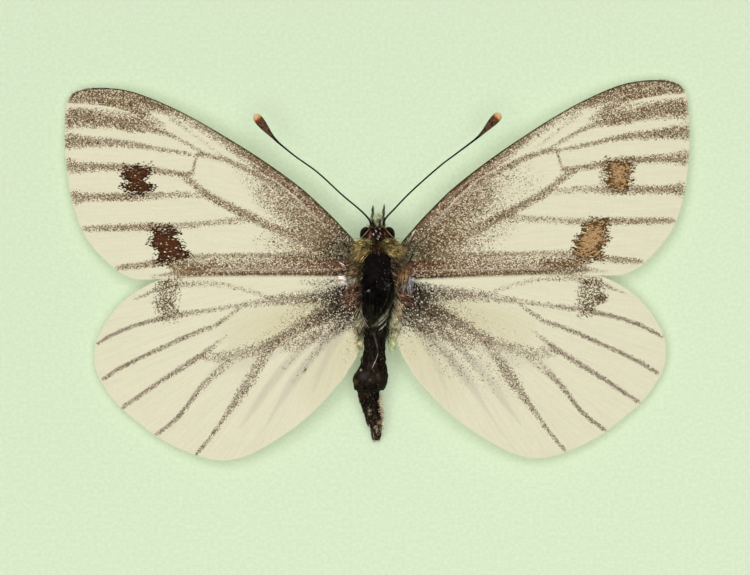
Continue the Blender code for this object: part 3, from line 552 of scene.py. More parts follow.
# The proboscis is a flat coil, hung under the front of the head.
COIL_CENTRE = (0.03, 3.14, 1.56)
COIL_OUTER_RADIUS = 0.40
COIL_INNER_RADIUS = 0.10
COIL_TURNS = 1.75
COIL_POINTS = 22
COIL_TUBE = (0.075, 0.045)           # radius at the head's end and at the tip
COIL_JOINT = 0.06

# Each leg on the right side: point and radius, from the body to the foot
LEGS = {
    "front_leg": (
        (0.42, 0.98, 1.15, 0.15), (0.95, 1.42, 0.92, 0.13), (1.55, 1.78, 0.84, 0.1), (1.98, 1.4, 0.5, 0.08),
        (2.28, 1.05, 0.16, 0.07), (2.6, 1.25, 0.07, 0.06), (3.1, 1.62, 0.06, 0.05),
    ),
    "middle_leg": (
        (0.5, -0.55, 0.8, 0.17), (1.2, -0.3, 0.76, 0.14), (2.1, -0.15, 0.8, 0.11), (2.52, -0.8, 0.46, 0.08),
        (2.86, -1.35, 0.13, 0.07), (3.2, -1.65, 0.07, 0.06), (3.72, -2.05, 0.06, 0.05),
    ),
    "hind_leg": (
        (0.46, -2.32, 0.84, 0.17), (1.1, -2.75, 0.84, 0.14), (1.86, -3.2, 0.8, 0.11),
        (2.1, -3.9, 0.46, 0.08), (2.26, -4.55, 0.13, 0.07), (2.52, -4.95, 0.07, 0.06),
        (2.92, -5.45, 0.06, 0.05),
    ),
}

# ---------------------------------------------------------------- hair
FUR_DEPTH = (0.05, 0.17)             # the thorax's skin lies this far inside the CAD, aside and above
ROOT_DEPTH = (0.08, 0.19)            # and its hair's roots this far
HEAD_FUR_DEPTH, HEAD_ROOT_DEPTH = 0.12, 0.13
ABDOMEN_FUR_DEPTH, ABDOMEN_ROOT_DEPTH = 0.03, 0.06
THORAX_MIDDLE_X = 0.05
# Each coat of hair: how many, where it starts and ends in y, shortest and longest, radius
COATS = {
    "thorax": (6500, (-4.45, 1.85), (0.45, 0.85), 0.015),
    "side": (1000, (-4.0, 0.9), (0.35, 0.75), 0.016),
    "head": (1500, (1.95, 3.12), (0.12, 0.30), 0.013),
    "abdomen": (2200, (-11.9, -4.7), (0.12, 0.34), 0.011),
}
# On a palp and a leg: how many, shortest and longest, radius
PALP_HAIR = (120, (0.12, 0.32), 0.012)
LEG_SPINES = (60, (0.06, 0.14), 0.008)
HAIR_FLOOR_Z = (3.30, 3.00)          # side hair stays above these, over the forewing and behind it
FOREWING_REAR_Y = -0.3
CONVERGE = 0.35                      # strands of a tuft draw together by this share of their spread
LUMP_WAVES = 24
JOINT_SWELL = 0.05                   # a jointed tube's radius varies by this share
ANTENNA_JOINT = 0.13
LEG_JOINT = 0.42
CLAW_LENGTH = 0.13
CLAW_SPREAD = 0.05
CLAW_DROP = 0.035
CLAW_RADIUS = 0.016
LOWEST_POINT = 0.004                 # feet stay this far above the ground
SEEDS = {"thorax": 21, "head": 22, "abdomen": 23, "palps": 24, "legs": 25}
# Hair's colours, sRGB, from dark to light
HAIR = {
    "coat": ((6, 5, 5), (34, 29, 25)),
    "olive": ((28, 26, 15), (84, 76, 50)),
    "rear": ((14, 14, 8), (88, 86, 62)),
    "golden": ((80, 64, 32), (186, 160, 104)),
    # grey strands that stand for glints: painted highlights
    "grey": ((80, 78, 76), (150, 148, 146)),
    "side": ((12, 9, 6), (104, 86, 62)),
    "light_side": ((120, 104, 78), (206, 190, 156)),
    "head": ((8, 5, 4), (104, 62, 36)),
    "pale_head": ((150, 130, 108), (236, 222, 204)),
    "head_speck": ((190, 180, 168), (250, 246, 240)),
    "abdomen": ((8, 6, 4), (60, 49, 33)),
    "tip": ((110, 80, 52), (216, 188, 150)),
    "pale_abdomen": ((110, 98, 82), (190, 178, 156)),
    "palp": ((18, 18, 10), (74, 70, 48)),
    "pale_palp": ((120, 122, 88), (196, 200, 160)),
}
# A tuft: start, end, spread at the start, more spread at the end, bow, strands, radius, colours
THORAX_TUFTS = (
    # the collar, left and right, in three layers
    ((-0.45, 1.96, 3), (-1.5, 1.82, 3.16), (0.3, 0.2, 0.1), (0.3, 0.3, 0.1), (0, 0.06, 0.08), 120, 0.014,
     (120, 108, 62), (244, 232, 178)),
    ((-0.48, 1.72, 3.22), (-1.5, 1.42, 3.38), (0.4, 0.3, 0.1), (0.4, 0.4, 0.1), (0, 0.08, 0.1), 280, 0.014,
     (56, 40, 14), (255, 230, 154)),
    ((-0.66, 1.46, 3.42), (-1.6, 0.86, 3.44), (0.4, 0.3, 0.1), (0.4, 0.5, 0.1), (-0.05, 0.08, 0.08), 200,
     0.014, (40, 30, 12), (252, 222, 148)),
    ((0.52, 1.98, 3), (1.46, 1.92, 3.16), (0.3, 0.2, 0.1), (0.3, 0.3, 0.1), (0, 0.06, 0.08), 120, 0.014,
     (120, 108, 62), (244, 232, 178)),
    ((0.54, 1.74, 3.22), (1.46, 1.46, 3.38), (0.4, 0.3, 0.1), (0.4, 0.4, 0.1), (0, 0.08, 0.1), 280, 0.014,
     (56, 40, 14), (255, 230, 154)),
    ((0.76, 1.55, 3.42), (1.62, 1.04, 3.44), (0.4, 0.3, 0.1), (0.4, 0.5, 0.1), (0.05, 0.08, 0.08), 200,
     0.014, (40, 30, 12), (252, 222, 148)),
    ((0.04, 2.02, 2.9), (0.05, 1.16, 3.7), (0.8, 0.2, 0.1), (0.3, 0.3, 0.1), (0, 0, 0.16), 150, 0.015,
     (14, 10, 6), (110, 84, 52)),
    ((-0.62, 1.74, 3.4), (-1.56, 1.22, 3.5), (0.3, 0.6, 0.05), (0.3, 0.5, 0.05), (0, 0.06, 0.06), 30, 0.015,
     (8, 6, 3), (66, 50, 26)),
    ((0.66, 1.76, 3.4), (1.52, 1.28, 3.5), (0.3, 0.6, 0.05), (0.3, 0.5, 0.05), (0, 0.06, 0.06), 30, 0.015,
     (8, 6, 3), (66, 50, 26)),
    # shoulders, over the roots of the forewings
    ((-1.18, 0.85, 3.42), (-1.98, 0.2, 3.38), (0.2, 0.6, 0.1), (0.4, 0.4, 0.1), (-0.05, 0, 0.04), 130,
     0.014, (26, 20, 14), (150, 130, 98)),
    ((1.26, 0.9, 3.42), (1.98, 0.3, 3.38), (0.2, 0.6, 0.1), (0.4, 0.4, 0.1), (0.05, 0, 0.04), 130, 0.014,
     (26, 20, 14), (150, 130, 98)),
    ((1.66, 0.3, 3.4), (2.4, 1.95, 3.32), (0.5, 0.6, 0.1), (0.5, 0.8, 0), (0.05, 0.05, 0.02), 44, 0.014,
     (18, 14, 8), (196, 180, 140)),
    ((-1.62, 0.55, 3.4), (-2.36, 1.75, 3.32), (0.4, 0.5, 0.1), (0.5, 0.7, 0), (-0.05, 0.05, 0.02), 34,
     0.014, (18, 14, 8), (180, 164, 128)),
    ((-2.74, 0.62, 3.3), (-2.22, 0.28, 3.34), (0, 0, 0), (0.1, 0, 0), (0, 0.01, 0.03), 4, 0.028,
     (236, 220, 204), (255, 246, 236)),
    ((-2.58, 0.42, 3.3), (-2.14, 0.1, 3.34), (0, 0, 0), (0.1, 0, 0), (0, 0.01, 0.03), 4, 0.026,
     (214, 188, 160), (250, 232, 210)),
    # orange-brown hair at the roots' rear
    ((-1.25, 0.2, 3.4), (-2.05, -0.28, 3.34), (0.2, 0.5, 0.1), (0.4, 0.4, 0.1), (-0.04, 0, 0.04), 44, 0.022,
     (26, 18, 11), (222, 184, 132)),
    ((1.92, 0.16, 3.36), (1.62, -1, 3.26), (0.6, 0.4, 0.1), (0.6, 0.4, 0.1), (0.04, 0, 0.04), 44, 0.024,
     (22, 14, 8), (236, 196, 142)),
    ((1.4, -0.35, 3.4), (2.6, 0.25, 3.34), (0.2, 0.6, 0), (0.5, 0.5, 0), (0, 0.05, 0.02), 16, 0.016,
     (120, 60, 34), (214, 140, 96)),
    ((-1.56, -0.32, 3.24), (-1.86, -1.1, 3.12), (0.3, 0.2, 0.1), (0.4, 0.4, 0), (0.03, 0, 0.04), 40, 0.014,
     (60, 46, 34), (230, 212, 186)),
    # pale hair over the roots of the hindwings
    ((-2.06, -0.7, 3.14), (-2.8, -0.62, 3.08), (0.1, 0.3, 0), (0.2, 0.25, 0), (0, 0.03, 0.03), 60, 0.02,
     (238, 220, 206), (252, 240, 230)),
    ((-2.14, -1.06, 3.1), (-2.36, -0.7, 3.12), (0.3, 0.2, 0), (0.4, 0.2, 0), (-0.02, 0, 0.03), 26, 0.018,
     (232, 214, 200), (248, 236, 228)),
    ((2.14, -0.84, 3.16), (2.66, -0.76, 3.08), (0.1, 0.4, 0), (0.2, 0.3, 0), (0, 0.04, 0.04), 36, 0.018,
     (196, 190, 190), (240, 236, 236)),
    ((2.24, -0.8, 3.16), (1.98, -1.66, 3.04), (0.5, 0.2, 0), (0.5, 0.3, 0), (0.04, 0.03, 0.04), 34, 0.014,
     (90, 86, 88), (224, 220, 222)),
    ((-1.22, -1.4, 3.1), (-2.5, -2.35, 3.02), (0.2, 0.9, 0.1), (0.5, 0.6, 0), (0, 0.08, 0.05), 40, 0.014,
     (30, 18, 12), (206, 150, 116)),
    ((1.24, -1.64, 3.1), (2.5, -2.1, 3), (0.2, 0.7, 0.1), (0.5, 0.7, 0), (0, 0.1, 0.05), 30, 0.015,
     (40, 22, 16), (224, 160, 126)),
    # long hairs of the hind part, that sweep in over the waist
    ((1, -1.3, 3.74), (-0.2, -3.7, 3.46), (0.4, 1, 0.1), (0.4, 0.3, 0.1), (0.34, -0.25, 0.24), 26, 0.012,
     (24, 25, 15), (96, 96, 72)),
    ((1.14, -2.05, 3.56), (-0.58, -4.08, 3.4), (0.1, 0.1, 0), (0.1, 0.1, 0), (0.16, -0.18, 0.42), 4, 0.02,
     (150, 150, 124), (200, 200, 172)),
    ((1.06, -2.35, 3.56), (-0.4, -4.12, 3.4), (0.1, 0.1, 0), (0.1, 0.1, 0), (0.12, -0.12, 0.4), 3, 0.018,
     (110, 110, 86), (160, 158, 132)),
    ((0.84, -3.05, 3.52), (-0.28, -4.02, 3.42), (0.1, 0.1, 0), (0.1, 0.1, 0), (0.08, -0.1, 0.26), 4, 0.02,
     (140, 138, 112), (196, 194, 168)),
    ((0.7, -3.55, 3.46), (0.12, -4.24, 3.36), (0, 0.1, 0), (0.1, 0, 0), (0.04, -0.04, 0.14), 3, 0.024,
     (214, 210, 188), (244, 240, 222)),
    ((-1.14, -2.8, 3.22), (-0.56, -4.15, 3.22), (0.1, 0.4, 0), (0.2, 0.2, 0), (-0.1, -0.06, 0.14), 8, 0.02,
     (120, 110, 94), (206, 194, 174)),
    ((-0.2, -2.4, 3.92), (-0.25, -4.1, 3.36), (1, 1.2, 0.1), (0.2, 0.3, 0.1), (0, 0, 0.12), 44, 0.012,
     (14, 13, 9), (84, 82, 62)),
    ((0.5, -0.98, 4.05), (1.02, -1.02, 3.74), (0.1, 0.5, 0), (0.1, 0.5, 0), (0, -0.04, 0.06), 9, 0.014,
     (60, 56, 46), (116, 110, 94)),
    # small glints on the back
    ((-0.68, -1.42, 3.96), (-0.54, -1.5, 4.02), (0.1, 0.1, 0), (0.1, 0.1, 0), (0, 0, 0.02), 8, 0.022,
     (96, 92, 98), (146, 140, 150)),
    ((0.32, -0.52, 4.2), (0.44, -0.62, 4.2), (0.1, 0.1, 0), (0.1, 0.1, 0), (0, 0, 0.02), 5, 0.018,
     (80, 76, 80), (120, 114, 120)),
    ((0.08, 1.24, 3.8), (0.2, 1.16, 3.82), (0.1, 0.1, 0), (0.1, 0.1, 0), (0, 0, 0.02), 5, 0.02,
     (110, 102, 98), (160, 150, 144)),
    # beside the waist, over the hindwings' inner edges
    ((-0.86, -3.2, 3), (-1.42, -4.35, 3), (0.2, 0.9, 0.1), (0.4, 0.4, 0.1), (-0.08, 0, 0.05), 170, 0.014,
     (60, 52, 30), (250, 238, 196)),
    ((0.92, -3.1, 3.02), (1.4, -4.25, 3), (0.2, 1, 0.1), (0.4, 0.4, 0.1), (0.1, 0, 0.05), 190, 0.014,
     (108, 102, 68), (255, 248, 208)),
    ((-1, -4.4, 2.84), (-1.3, -5.55, 2.76), (0.1, 0.7, 0.1), (0.3, 0.5, 0.1), (-0.05, 0, 0), 130, 0.011,
     (196, 190, 142), (246, 242, 206)),
    ((0.8, -4.35, 2.84), (1.1, -5.4, 2.78), (0.2, 0.7, 0.1), (0.4, 0.7, 0.1), (0.05, 0, 0), 150, 0.011,
     (196, 198, 140), (244, 246, 204)),
    ((1.04, -2.1, 3.14), (1.78, -3.2, 3.04), (0.2, 0.9, 0.1), (0.4, 0.5, 0), (0.05, 0, 0.05), 80, 0.014,
     (120, 96, 64), (255, 234, 192)),
    ((1.06, -3.2, 3.14), (1.34, -4.3, 3.04), (0.2, 0.9, 0.1), (0.4, 0.5, 0), (0.05, 0, 0.05), 90, 0.014,
     (150, 142, 100), (255, 250, 210)),
    # dark hair that closes the waist
    ((-0.1, -4.1, 3.14), (-0.14, -4.95, 3.12), (1.1, 0.3, 0.1), (0.5, 0.3, 0), (0, 0, 0.04), 160, 0.015,
     (12, 10, 8), (58, 48, 38)),
    # the long pale hair over the abdomen's root
    ((-0.3, -4.28, 3.28), (0.1, -5.85, 3.14), (0.05, 0.2, 0), (0, 0.1, 0), (0.05, 0, 0.07), 8, 0.016,
     (90, 84, 74), (142, 136, 126)),
    ((0.08, -5.8, 3.14), (-0.4, -6.96, 3.1), (0, 0, 0), (0, 0, 0), (0.06, 0, 0.04), 3, 0.02,
     (206, 196, 180), (236, 228, 214)),
)
# Small pale specks on the head: x, y, z
HEAD_SPECKS = (
    (-0.13, 3, 2.86), (0.15, 2.96, 2.92), (-0.26, 2.55, 3.22), (0.11, 2.4, 3.26), (0.2, 2.64, 3.2),
    (-0.1, 2.78, 3.12), (0.02, 2.2, 3.2),
)
# Stains on the abdomen's upper side, and painted highlights on its swelling: x, y, radius, how much, colour
ABDOMEN_STAINS_AND_HIGHLIGHTS = (
    # painted highlights on the swelling
    (-0.95, -7.45, 0.28, 0.50, (84, 70, 74)),
    (-0.50, -7.74, 0.12, 0.60, (110, 100, 90)),
    # stains and pale specks
    (0.10, -7.55, 0.30, 0.35, (80, 64, 46)),
    (-1.52, -7.85, 0.16, 0.70, (98, 88, 54)),
    (-0.40, -6.70, 0.26, 0.35, (80, 62, 50)),
    (-1.12, -8.92, 0.16, 0.50, (112, 46, 36)),
    (-0.52, -9.90, 0.10, 0.80, (170, 150, 136)),
    (-0.56, -10.15, 0.08, 0.80, (180, 160, 140)),
    (-1.54, -7.13, 0.08, 0.90, (222, 208, 160)),
    (-1.14, -7.02, 0.07, 0.90, (214, 200, 160)),
    (0.15, -10.75, 0.12, 0.70, (190, 164, 124)),
)
HEAD_TUFTS = (
    # the pale tuft in front, between the palps
    ((0.03, 3, 2.72), (0.08, 3.98, 2.92), (0.3, 0.1, 0.1), (0.4, 0.3, 0.1), (0, 0, 0.06), 190, 0.01,
     (168, 170, 122), (240, 242, 206)),
    # dark tufts beside the antennae
    ((-0.16, 3.05, 2.84), (-0.47, 3.72, 2.98), (0.1, 0.1, 0), (0.1, 0.1, 0), (0, 0, 0.04), 18, 0.016,
     (14, 10, 8), (60, 44, 30)),
    ((0.18, 3.05, 2.84), (0.26, 3.62, 2.98), (0.1, 0.1, 0), (0.1, 0.1, 0), (0, 0, 0.04), 16, 0.016,
     (18, 10, 8), (84, 52, 36)),
    ((-0.34, 2.95, 2.88), (-0.6, 3.2, 2.98), (0.2, 0.1, 0), (0.2, 0.1, 0), (0, 0, 0.04), 20, 0.012,
     (96, 84, 50), (188, 172, 122)),
    ((0.48, 2.95, 2.88), (0.58, 3.28, 2.98), (0.1, 0.1, 0), (0.2, 0.1, 0), (0, 0, 0.04), 20, 0.012,
     (110, 100, 66), (190, 180, 138)),
    # behind the eyes
    ((-0.62, 2.1, 2.96), (-1.06, 1.82, 3), (0.3, 0.1, 0), (0.2, 0.2, 0), (0, 0, 0.04), 40, 0.012,
     (120, 104, 60), (226, 216, 166)),
    ((0.7, 2.1, 2.96), (1.12, 1.88, 3), (0.3, 0.1, 0), (0.2, 0.2, 0), (0, 0, 0.04), 40, 0.012,
     (120, 104, 60), (226, 216, 166)),
    # reddish strips beside the eyes
    ((-0.4, 2.72, 3.02), (-0.66, 2.1, 3), (0.1, 0.2, 0), (0.1, 0.2, 0), (0, 0, 0.06), 22, 0.013,
     (90, 44, 32), (204, 150, 126)),
    ((0.52, 2.72, 3.02), (0.66, 2.2, 3), (0.1, 0.2, 0), (0.1, 0.2, 0), (0, 0, 0.06), 14, 0.012,
     (70, 40, 24), (150, 108, 78)),
)
ABDOMEN_TUFTS = (
    # the fuzzy pale edge on the right of the hind part
    ((0.12, -9.3, 1.46), (0.32, -9.44, 1.42), (0.1, 0.7, 0.2), (0.1, 0.3, 0.1), (0.02, 0, 0), 60, 0.015,
     (206, 160, 116), (255, 248, 222)),
    ((0.26, -10.15, 1.2), (0.44, -10.3, 1.16), (0.1, 0.9, 0.2), (0.1, 0.3, 0.1), (0.02, 0, 0), 100, 0.015,
     (206, 160, 116), (255, 248, 222)),
    # the creases on the swelling and its left rim, in lighter strands that are painted highlights along
    # them
    ((-0.66, -7.84, 2.84), (-0.22, -7.52, 2.9), (0.1, 0.1, 0), (0.1, 0.1, 0), (0, 0.05, 0.02), 14, 0.012,
     (60, 50, 40), (128, 108, 84)),
    ((-1.56, -7.5, 2.18), (-1.4, -8.32, 1.98), (0.1, 0.1, 0), (0, 0.1, 0), (-0.06, 0, 0.03), 8, 0.013,
     (70, 66, 38), (128, 118, 78)),
    ((-1.3, -7.3, 2.44), (-1.22, -8.1, 2.3), (0.1, 0.1, 0), (0, 0.1, 0), (-0.06, 0, 0.03), 6, 0.012,
     (66, 60, 36), (116, 106, 70)),
    # pale bits at the tip
    ((0.16, -10.72, 1.26), (-0.26, -11.15, 1.12), (0.1, 0.1, 0), (0.1, 0.1, 0), (0, 0, 0.03), 12, 0.013,
     (170, 150, 120), (232, 214, 180)),
    ((0, -11.05, 1.1), (-0.04, -11.25, 1.02), (0.5, 0.6, 0.1), (0.2, 0.2, 0.1), (0, 0, 0.03), 70, 0.02,
     (8, 6, 4), (255, 236, 196)),
)


# ---------------------------------------------------------------- small tools
def smooth(low, high, value):
    """0 below low, 1 above high, and a smooth step between them."""
    t = np.clip((value - low) / (high - low), 0.0, 1.0)
    return t * t * (3.0 - 2.0 * t)


def linear(colour):
    """A scene-linear RGBA colour from sRGB values of 0 to 255."""
    channels = [c / 255.0 for c in colour]
    return (*[c / 12.92 if c <= 0.04045 else ((c + 0.055) / 1.055) ** 2.4 for c in channels], 1.0)


def spline(points, step, closed=False):
    """Points at about the given step along a Catmull-Rom curve through the control points.

    Also returns each point's place in the list of control points, as a number with a fraction.
    """
    points = np.array(points, float)
    count = len(points)
    out, places = [], []
    for index in range(count if closed else count - 1):
        near = [index - 1, index, index + 1, index + 2]
        near = [k % count if closed else min(max(k, 0), count - 1) for k in near]
        before, start, end, after = points[near]
        pieces = max(1, round(float(np.linalg.norm((end - start)[:3])) / step))
        for t in np.arange(pieces) / pieces:
            out.append(0.5 * (
                2.0 * start + t * (end - before)
                + t * t * (2.0 * before - 5.0 * start + 4.0 * end - after)
                + t ** 3 * (3.0 * start - before - 3.0 * end + after)))
            places.append(index + t)
    if not closed:
        out.append(points[-1])
        places.append(float(count - 1))
    return np.array(out), np.array(places)


def along_path(points, path):
    """For each point, the nearest distance to a path of (x, y, values...) and the values there."""
    path = np.array(path, float)
    nearest = np.full(len(points), np.inf)
    values = np.zeros((len(points), path.shape[1] - 2))
    for start, end in zip(path, path[1:]):
        run = end[:2] - start[:2]
        t = np.clip(((points - start[:2]) @ run) / (run @ run), 0.0, 1.0)
        away = np.hypot(*(points - start[:2] - t[:, None] * run).T)
        closer = away < nearest
        nearest[closer] = away[closer]
        values[closer] = (start[2:] + t[:, None] * (end[2:] - start[2:]))[closer]
    return nearest, values


def cover_by_stroke(points, path):
    """The stroke's strength at each point, soft at its sides."""
    path = np.array(path, float)
    cover = np.zeros(len(points))
    for start, end in zip(path, path[1:]):
        away, values = along_path(points, (start, end))
        half, strength = values.T
        cover = np.maximum(cover, strength * (1.0 - smooth(0.35 * half, 1.65 * half, away)))
    return cover


def cover_by_strokes(points, strokes):
    """The share that several strokes cover together at each point."""
    clear = np.ones(len(points))
    for path in strokes.values():
        clear *= 1.0 - cover_by_stroke(points, path)
    return 1.0 - clear


def turned(points, degrees):
    """Flat points, turned about the origin."""
    angle = math.radians(degrees)
    turn = np.array([[math.cos(angle), -math.sin(angle)], [math.sin(angle), math.cos(angle)]])
    return points @ turn.T


def closed_path(loop):
    """A loop's points, with the first one once more at the end."""
    return np.vstack([loop, loop[:1]])


def run_along(points):
    """How far along their path the points lie."""
    return np.r_[0.0, np.cumsum(np.linalg.norm(np.diff(points, axis=0), axis=1))]


def ring_faces(rings, sides, flip=False):
    """Faces of a body of rings of points. Two more points, one at each end, close it."""
    faces = []
    top = rings * sides
    last = top - sides
    for k in range(sides):
        after = (k + 1) % sides
        for low in range(0, last, sides):
            high = low + sides
            faces.append((low + k, low + after, high + after, high + k))
        faces.append((top, after, k))
        faces.append((top + 1, last + k, last + after))
    return [(face[0], *face[:0:-1]) for face in faces] if flip else faces


def strand_faces(rings, count):
    """Triangles of three-sided strands, whose last ring is a point."""
    last = 3 * (rings - 2)
    tip = last + 3
    faces = [(2, 1, 0)]
    for k in range(3):
        after = (k + 1) % 3
        for low in range(0, last, 3):
            faces.append((low + k, low + after, low + 3 + after))
            faces.append((low + k, low + 3 + after, low + 3 + k))
        faces.append((last + k, last + after, tip))
    base = np.arange(count)[:, None, None] * (tip + 1)
    return (np.array(faces)[None] + base).reshape(-1, 3)


def new_object(name, points, faces, material):
    """A mesh piece from points in millimetres. It rides on the specimen's one body."""
    mesh = bpy.data.meshes.new(name)
    mesh.from_pydata((np.asarray(points) * MM).tolist(), [], [list(map(int, f)) for f in faces])
    mesh.validate()
    mesh.shade_smooth()
    mesh.materials.append(material)
    obj = bpy.data.objects.new(name, mesh)
    bpy.context.scene.collection.objects.link(obj)
    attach(obj, "root")
    return obj


def set_attribute(obj, name, values):
    """Give each point of a piece a number, or a row of three, that its material reads."""
    values = np.asarray(values, np.float32)
    kind, field = ("FLOAT", "value") if values.ndim == 1 else ("FLOAT_VECTOR", "vector")
    layer = obj.data.attributes.new(name, kind, "POINT")
    layer.data.foreach_set(field, values.ravel())


class Material:
    """A material whose nodes are made by short calls. Each call gives back an output socket."""

    def __init__(self, name, roughness, specular):
        self.material = bpy.data.materials.new(name)
        self.material.use_nodes = True
        self.tree = self.material.node_tree
        self.shader = self.tree.nodes["Principled BSDF"]
        self.shader.inputs["Roughness"].default_value = roughness
        self.shader.inputs["Specular IOR Level"].default_value = specular

    def put(self, socket, value):
        """Give a socket its value, or link it to another socket."""
        if isinstance(value, bpy.types.NodeSocket):
            self.tree.links.new(value, socket)
        else:
            socket.default_value = value

    def node(self, kind, inputs, **settings):
        node = self.tree.nodes.new(kind)
        for key, value in settings.items():
            setattr(node, key, value)
        for key, value in inputs.items():
            self.put(node.inputs[key], value)
        return node

    def attribute(self, name, output="Fac"):
        return self.node("ShaderNodeAttribute", {}, attribute_name=name).outputs[output]

    def where(self):
        """The place on the piece, in metres."""
        return self.node("ShaderNodeTexCoord", {}).outputs["Object"]

    def math(self, operation, first, second=0.0):
        return self.node("ShaderNodeMath", {0: first, 1: second}, operation=operation).outputs[0]

    def times(self, first, second):
        return self.math("MULTIPLY", first, second)

    def plus(self, first, second):
        return self.math("ADD", first, second)

    def minus(self, first, second):
        return self.math("SUBTRACT", first, second)

    def between(self, value, low, high, start=0.0, end=1.0):
        """value, moved from the range low to high to the range start to end, and kept in it."""
        inputs = {"Value": value, "From Min": low, "From Max": high, "To Min": start, "To Max": end}
        return self.node("ShaderNodeMapRange", inputs).outputs[0]

    def mix(self, factor, first, second, blend="MIX"):
        """A mix of two colours. Each is a socket, or sRGB values of 0 to 255."""
        node = self.node("ShaderNodeMix", {}, data_type="RGBA", blend_type=blend)
        self.put(node.inputs[0], factor)
        for socket, colour in ((node.inputs[6], first), (node.inputs[7], second)):
            self.put(socket, linear(colour) if isinstance(colour, tuple) else colour)
        return node.outputs[2]

    def brighten(self, colour, factor):
        """colour times a number that varies over the surface"""
        grey = self.node("ShaderNodeCombineColor", {0: factor, 1: factor, 2: factor}).outputs[0]
        return self.mix(1.0, colour, grey, "MULTIPLY")

    def scaled(self, vector, x, y, z=1.0):
        inputs = {0: vector, 1: (x, y, z)}
        return self.node("ShaderNodeVectorMath", inputs, operation="MULTIPLY").outputs[0]

    def noise(self, vector, scale, detail):
        inputs = {"Vector": vector, "Scale": scale, "Detail": detail}
        return self.node("ShaderNodeTexNoise", inputs).outputs["Fac"]

    def cells(self, vector, scale):
        """Distance to the nearest cell's centre, and three random numbers of that cell."""
        node = self.node("ShaderNodeTexVoronoi", {"Vector": vector, "Scale": scale})
        split = self.node("ShaderNodeSeparateColor", {0: node.outputs["Color"]})
        return node.outputs["Distance"], split.outputs

    def bump(self, height, strength, distance):
        inputs = {"Height": height, "Strength": strength, "Distance": distance * MM}
        normal = self.node("ShaderNodeBump", inputs).outputs[0]
        self.put(self.shader.inputs["Normal"], normal)

    def colour(self, value):
        self.put(self.shader.inputs["Base Color"], value)


# ---------------------------------------------------------------- stage
def make_stage():
    """A plain pale floor, a weak sky, an even fill light and a ring of soft lamps."""
    half = 0.5 * FLOOR_SIZE * MM
    mesh = bpy.data.meshes.new("floor")
    corners = [(-half, -half, 0.0), (half, -half, 0.0), (half, half, 0.0), (-half, half, 0.0)]
    mesh.from_pydata(corners, [], [(0, 1, 2, 3)])
    paper = Material("floor_paper", 0.9, 0.1)
    where = paper.where()
    grain = paper.noise(where, 4.0 / MM, 1.0)
    split = paper.node("ShaderNodeSeparateXYZ", {0: where}).outputs
    slope = paper.minus(paper.times(split[0], 0.4), split[1])
    tone = paper.times(paper.between(grain, 0.25, 0.75, 0.955, 1.04),
                       paper.between(slope, -20.0 * MM, 20.0 * MM, 0.975, 1.012))
    paper.colour(paper.brighten(FLOOR_COLOUR, tone))
    mesh.materials.append(paper.material)
    floor = bpy.data.objects.new("floor", mesh)
    bpy.context.scene.collection.objects.link(floor)

    world = bpy.data.worlds.new("soft_sky")
    world.use_nodes = True
    sky = world.node_tree.nodes["Background"]
    sky.inputs["Color"].default_value = (1.0, 1.0, 1.0, 1.0)
    sky.inputs["Strength"].default_value = SKY_STRENGTH
    bpy.context.scene.world = world

    fill = bpy.data.lights.new("fill", "SUN")
    fill.energy = FILL_STRENGTH
    fill.angle = math.radians(FILL_ANGLE_DEG)
    fill.use_shadow = False
    bpy.context.scene.collection.objects.link(bpy.data.objects.new("fill", fill))
    for index in range(LAMP_COUNT):
        turn = math.tau * (index + 0.5) / LAMP_COUNT
        lean_x = LAMP_SHIFT[0] + LAMP_TILT * math.cos(turn)
        lean_y = LAMP_SHIFT[1] + LAMP_TILT * math.sin(turn)
        data = bpy.data.lights.new(f"lamp_{index + 1}", "SUN")
        data.energy = LAMP_STRENGTH / LAMP_COUNT
        data.angle = math.radians(LAMP_ANGLE_DEG)
        lamp = bpy.data.objects.new(data.name, data)
        lamp.rotation_euler = Vector((lean_x, lean_y, 1.0)).to_track_quat("Z", "Y").to_euler()
        bpy.context.scene.collection.objects.link(lamp)


def make_camera():
    """The camera looks straight down, on the middle of the picture."""
    middle_x = (0.5 * PICTURE_SIZE[0] - ORIGIN_PIXEL[0]) / PIXELS_PER_MM
    middle_y = (ORIGIN_PIXEL[1] - 0.5 * PICTURE_SIZE[1]) / PIXELS_PER_MM
    data = bpy.data.cameras.new("camera")
    data.sensor_width = SENSOR_WIDTH
    data.lens = SENSOR_WIDTH * CAMERA_DISTANCE * PIXELS_PER_MM / PICTURE_SIZE[0]
    data.clip_start = 0.01
    data.clip_end = 10.0
    camera = bpy.data.objects.new("camera", data)
    camera.location = (middle_x * MM, middle_y * MM, (TRUE_SCALE_Z + CAMERA_DISTANCE) * MM)
    bpy.context.scene.collection.objects.link(camera)
    bpy.context.scene.camera = camera
    bpy.context.scene.view_settings.view_transform = "Standard"


# ---------------------------------------------------------------- wings
def wing_height(x, y):
    """Height of a wing's sheet above the surface: it falls away from the body."""
    distance = np.hypot(x, y - DROOP_CENTRE_Y)
    return WING_ROOT_Z - WING_DROOP * (distance / HALF_SPAN) ** DROOP_POWER


def place_on_side(wing, points, side):
    """From the neutral right wing to the place on one side, as in the CAD."""
    hinge = np.array(wing["hinge"])
    shift = np.array(wing["shift"]) * side
    scale = 1.0 + side * wing["stretch"]
    return hinge + shift + turned(points - hinge, side * wing["turn_deg"]) * scale


def vein_distance(wing, points):
    """How far each neutral point lies from the nearest vein."""
    return np.min([along_path(points, path)[0] for path in wing["veins"]], axis=0)


def between_places(places, first, last):
    """1 between two of the margin's control points, and 0 one point further out."""
    return smooth(first - 1.0, first, places) * (1.0 - smooth(last, last + 1.0, places))


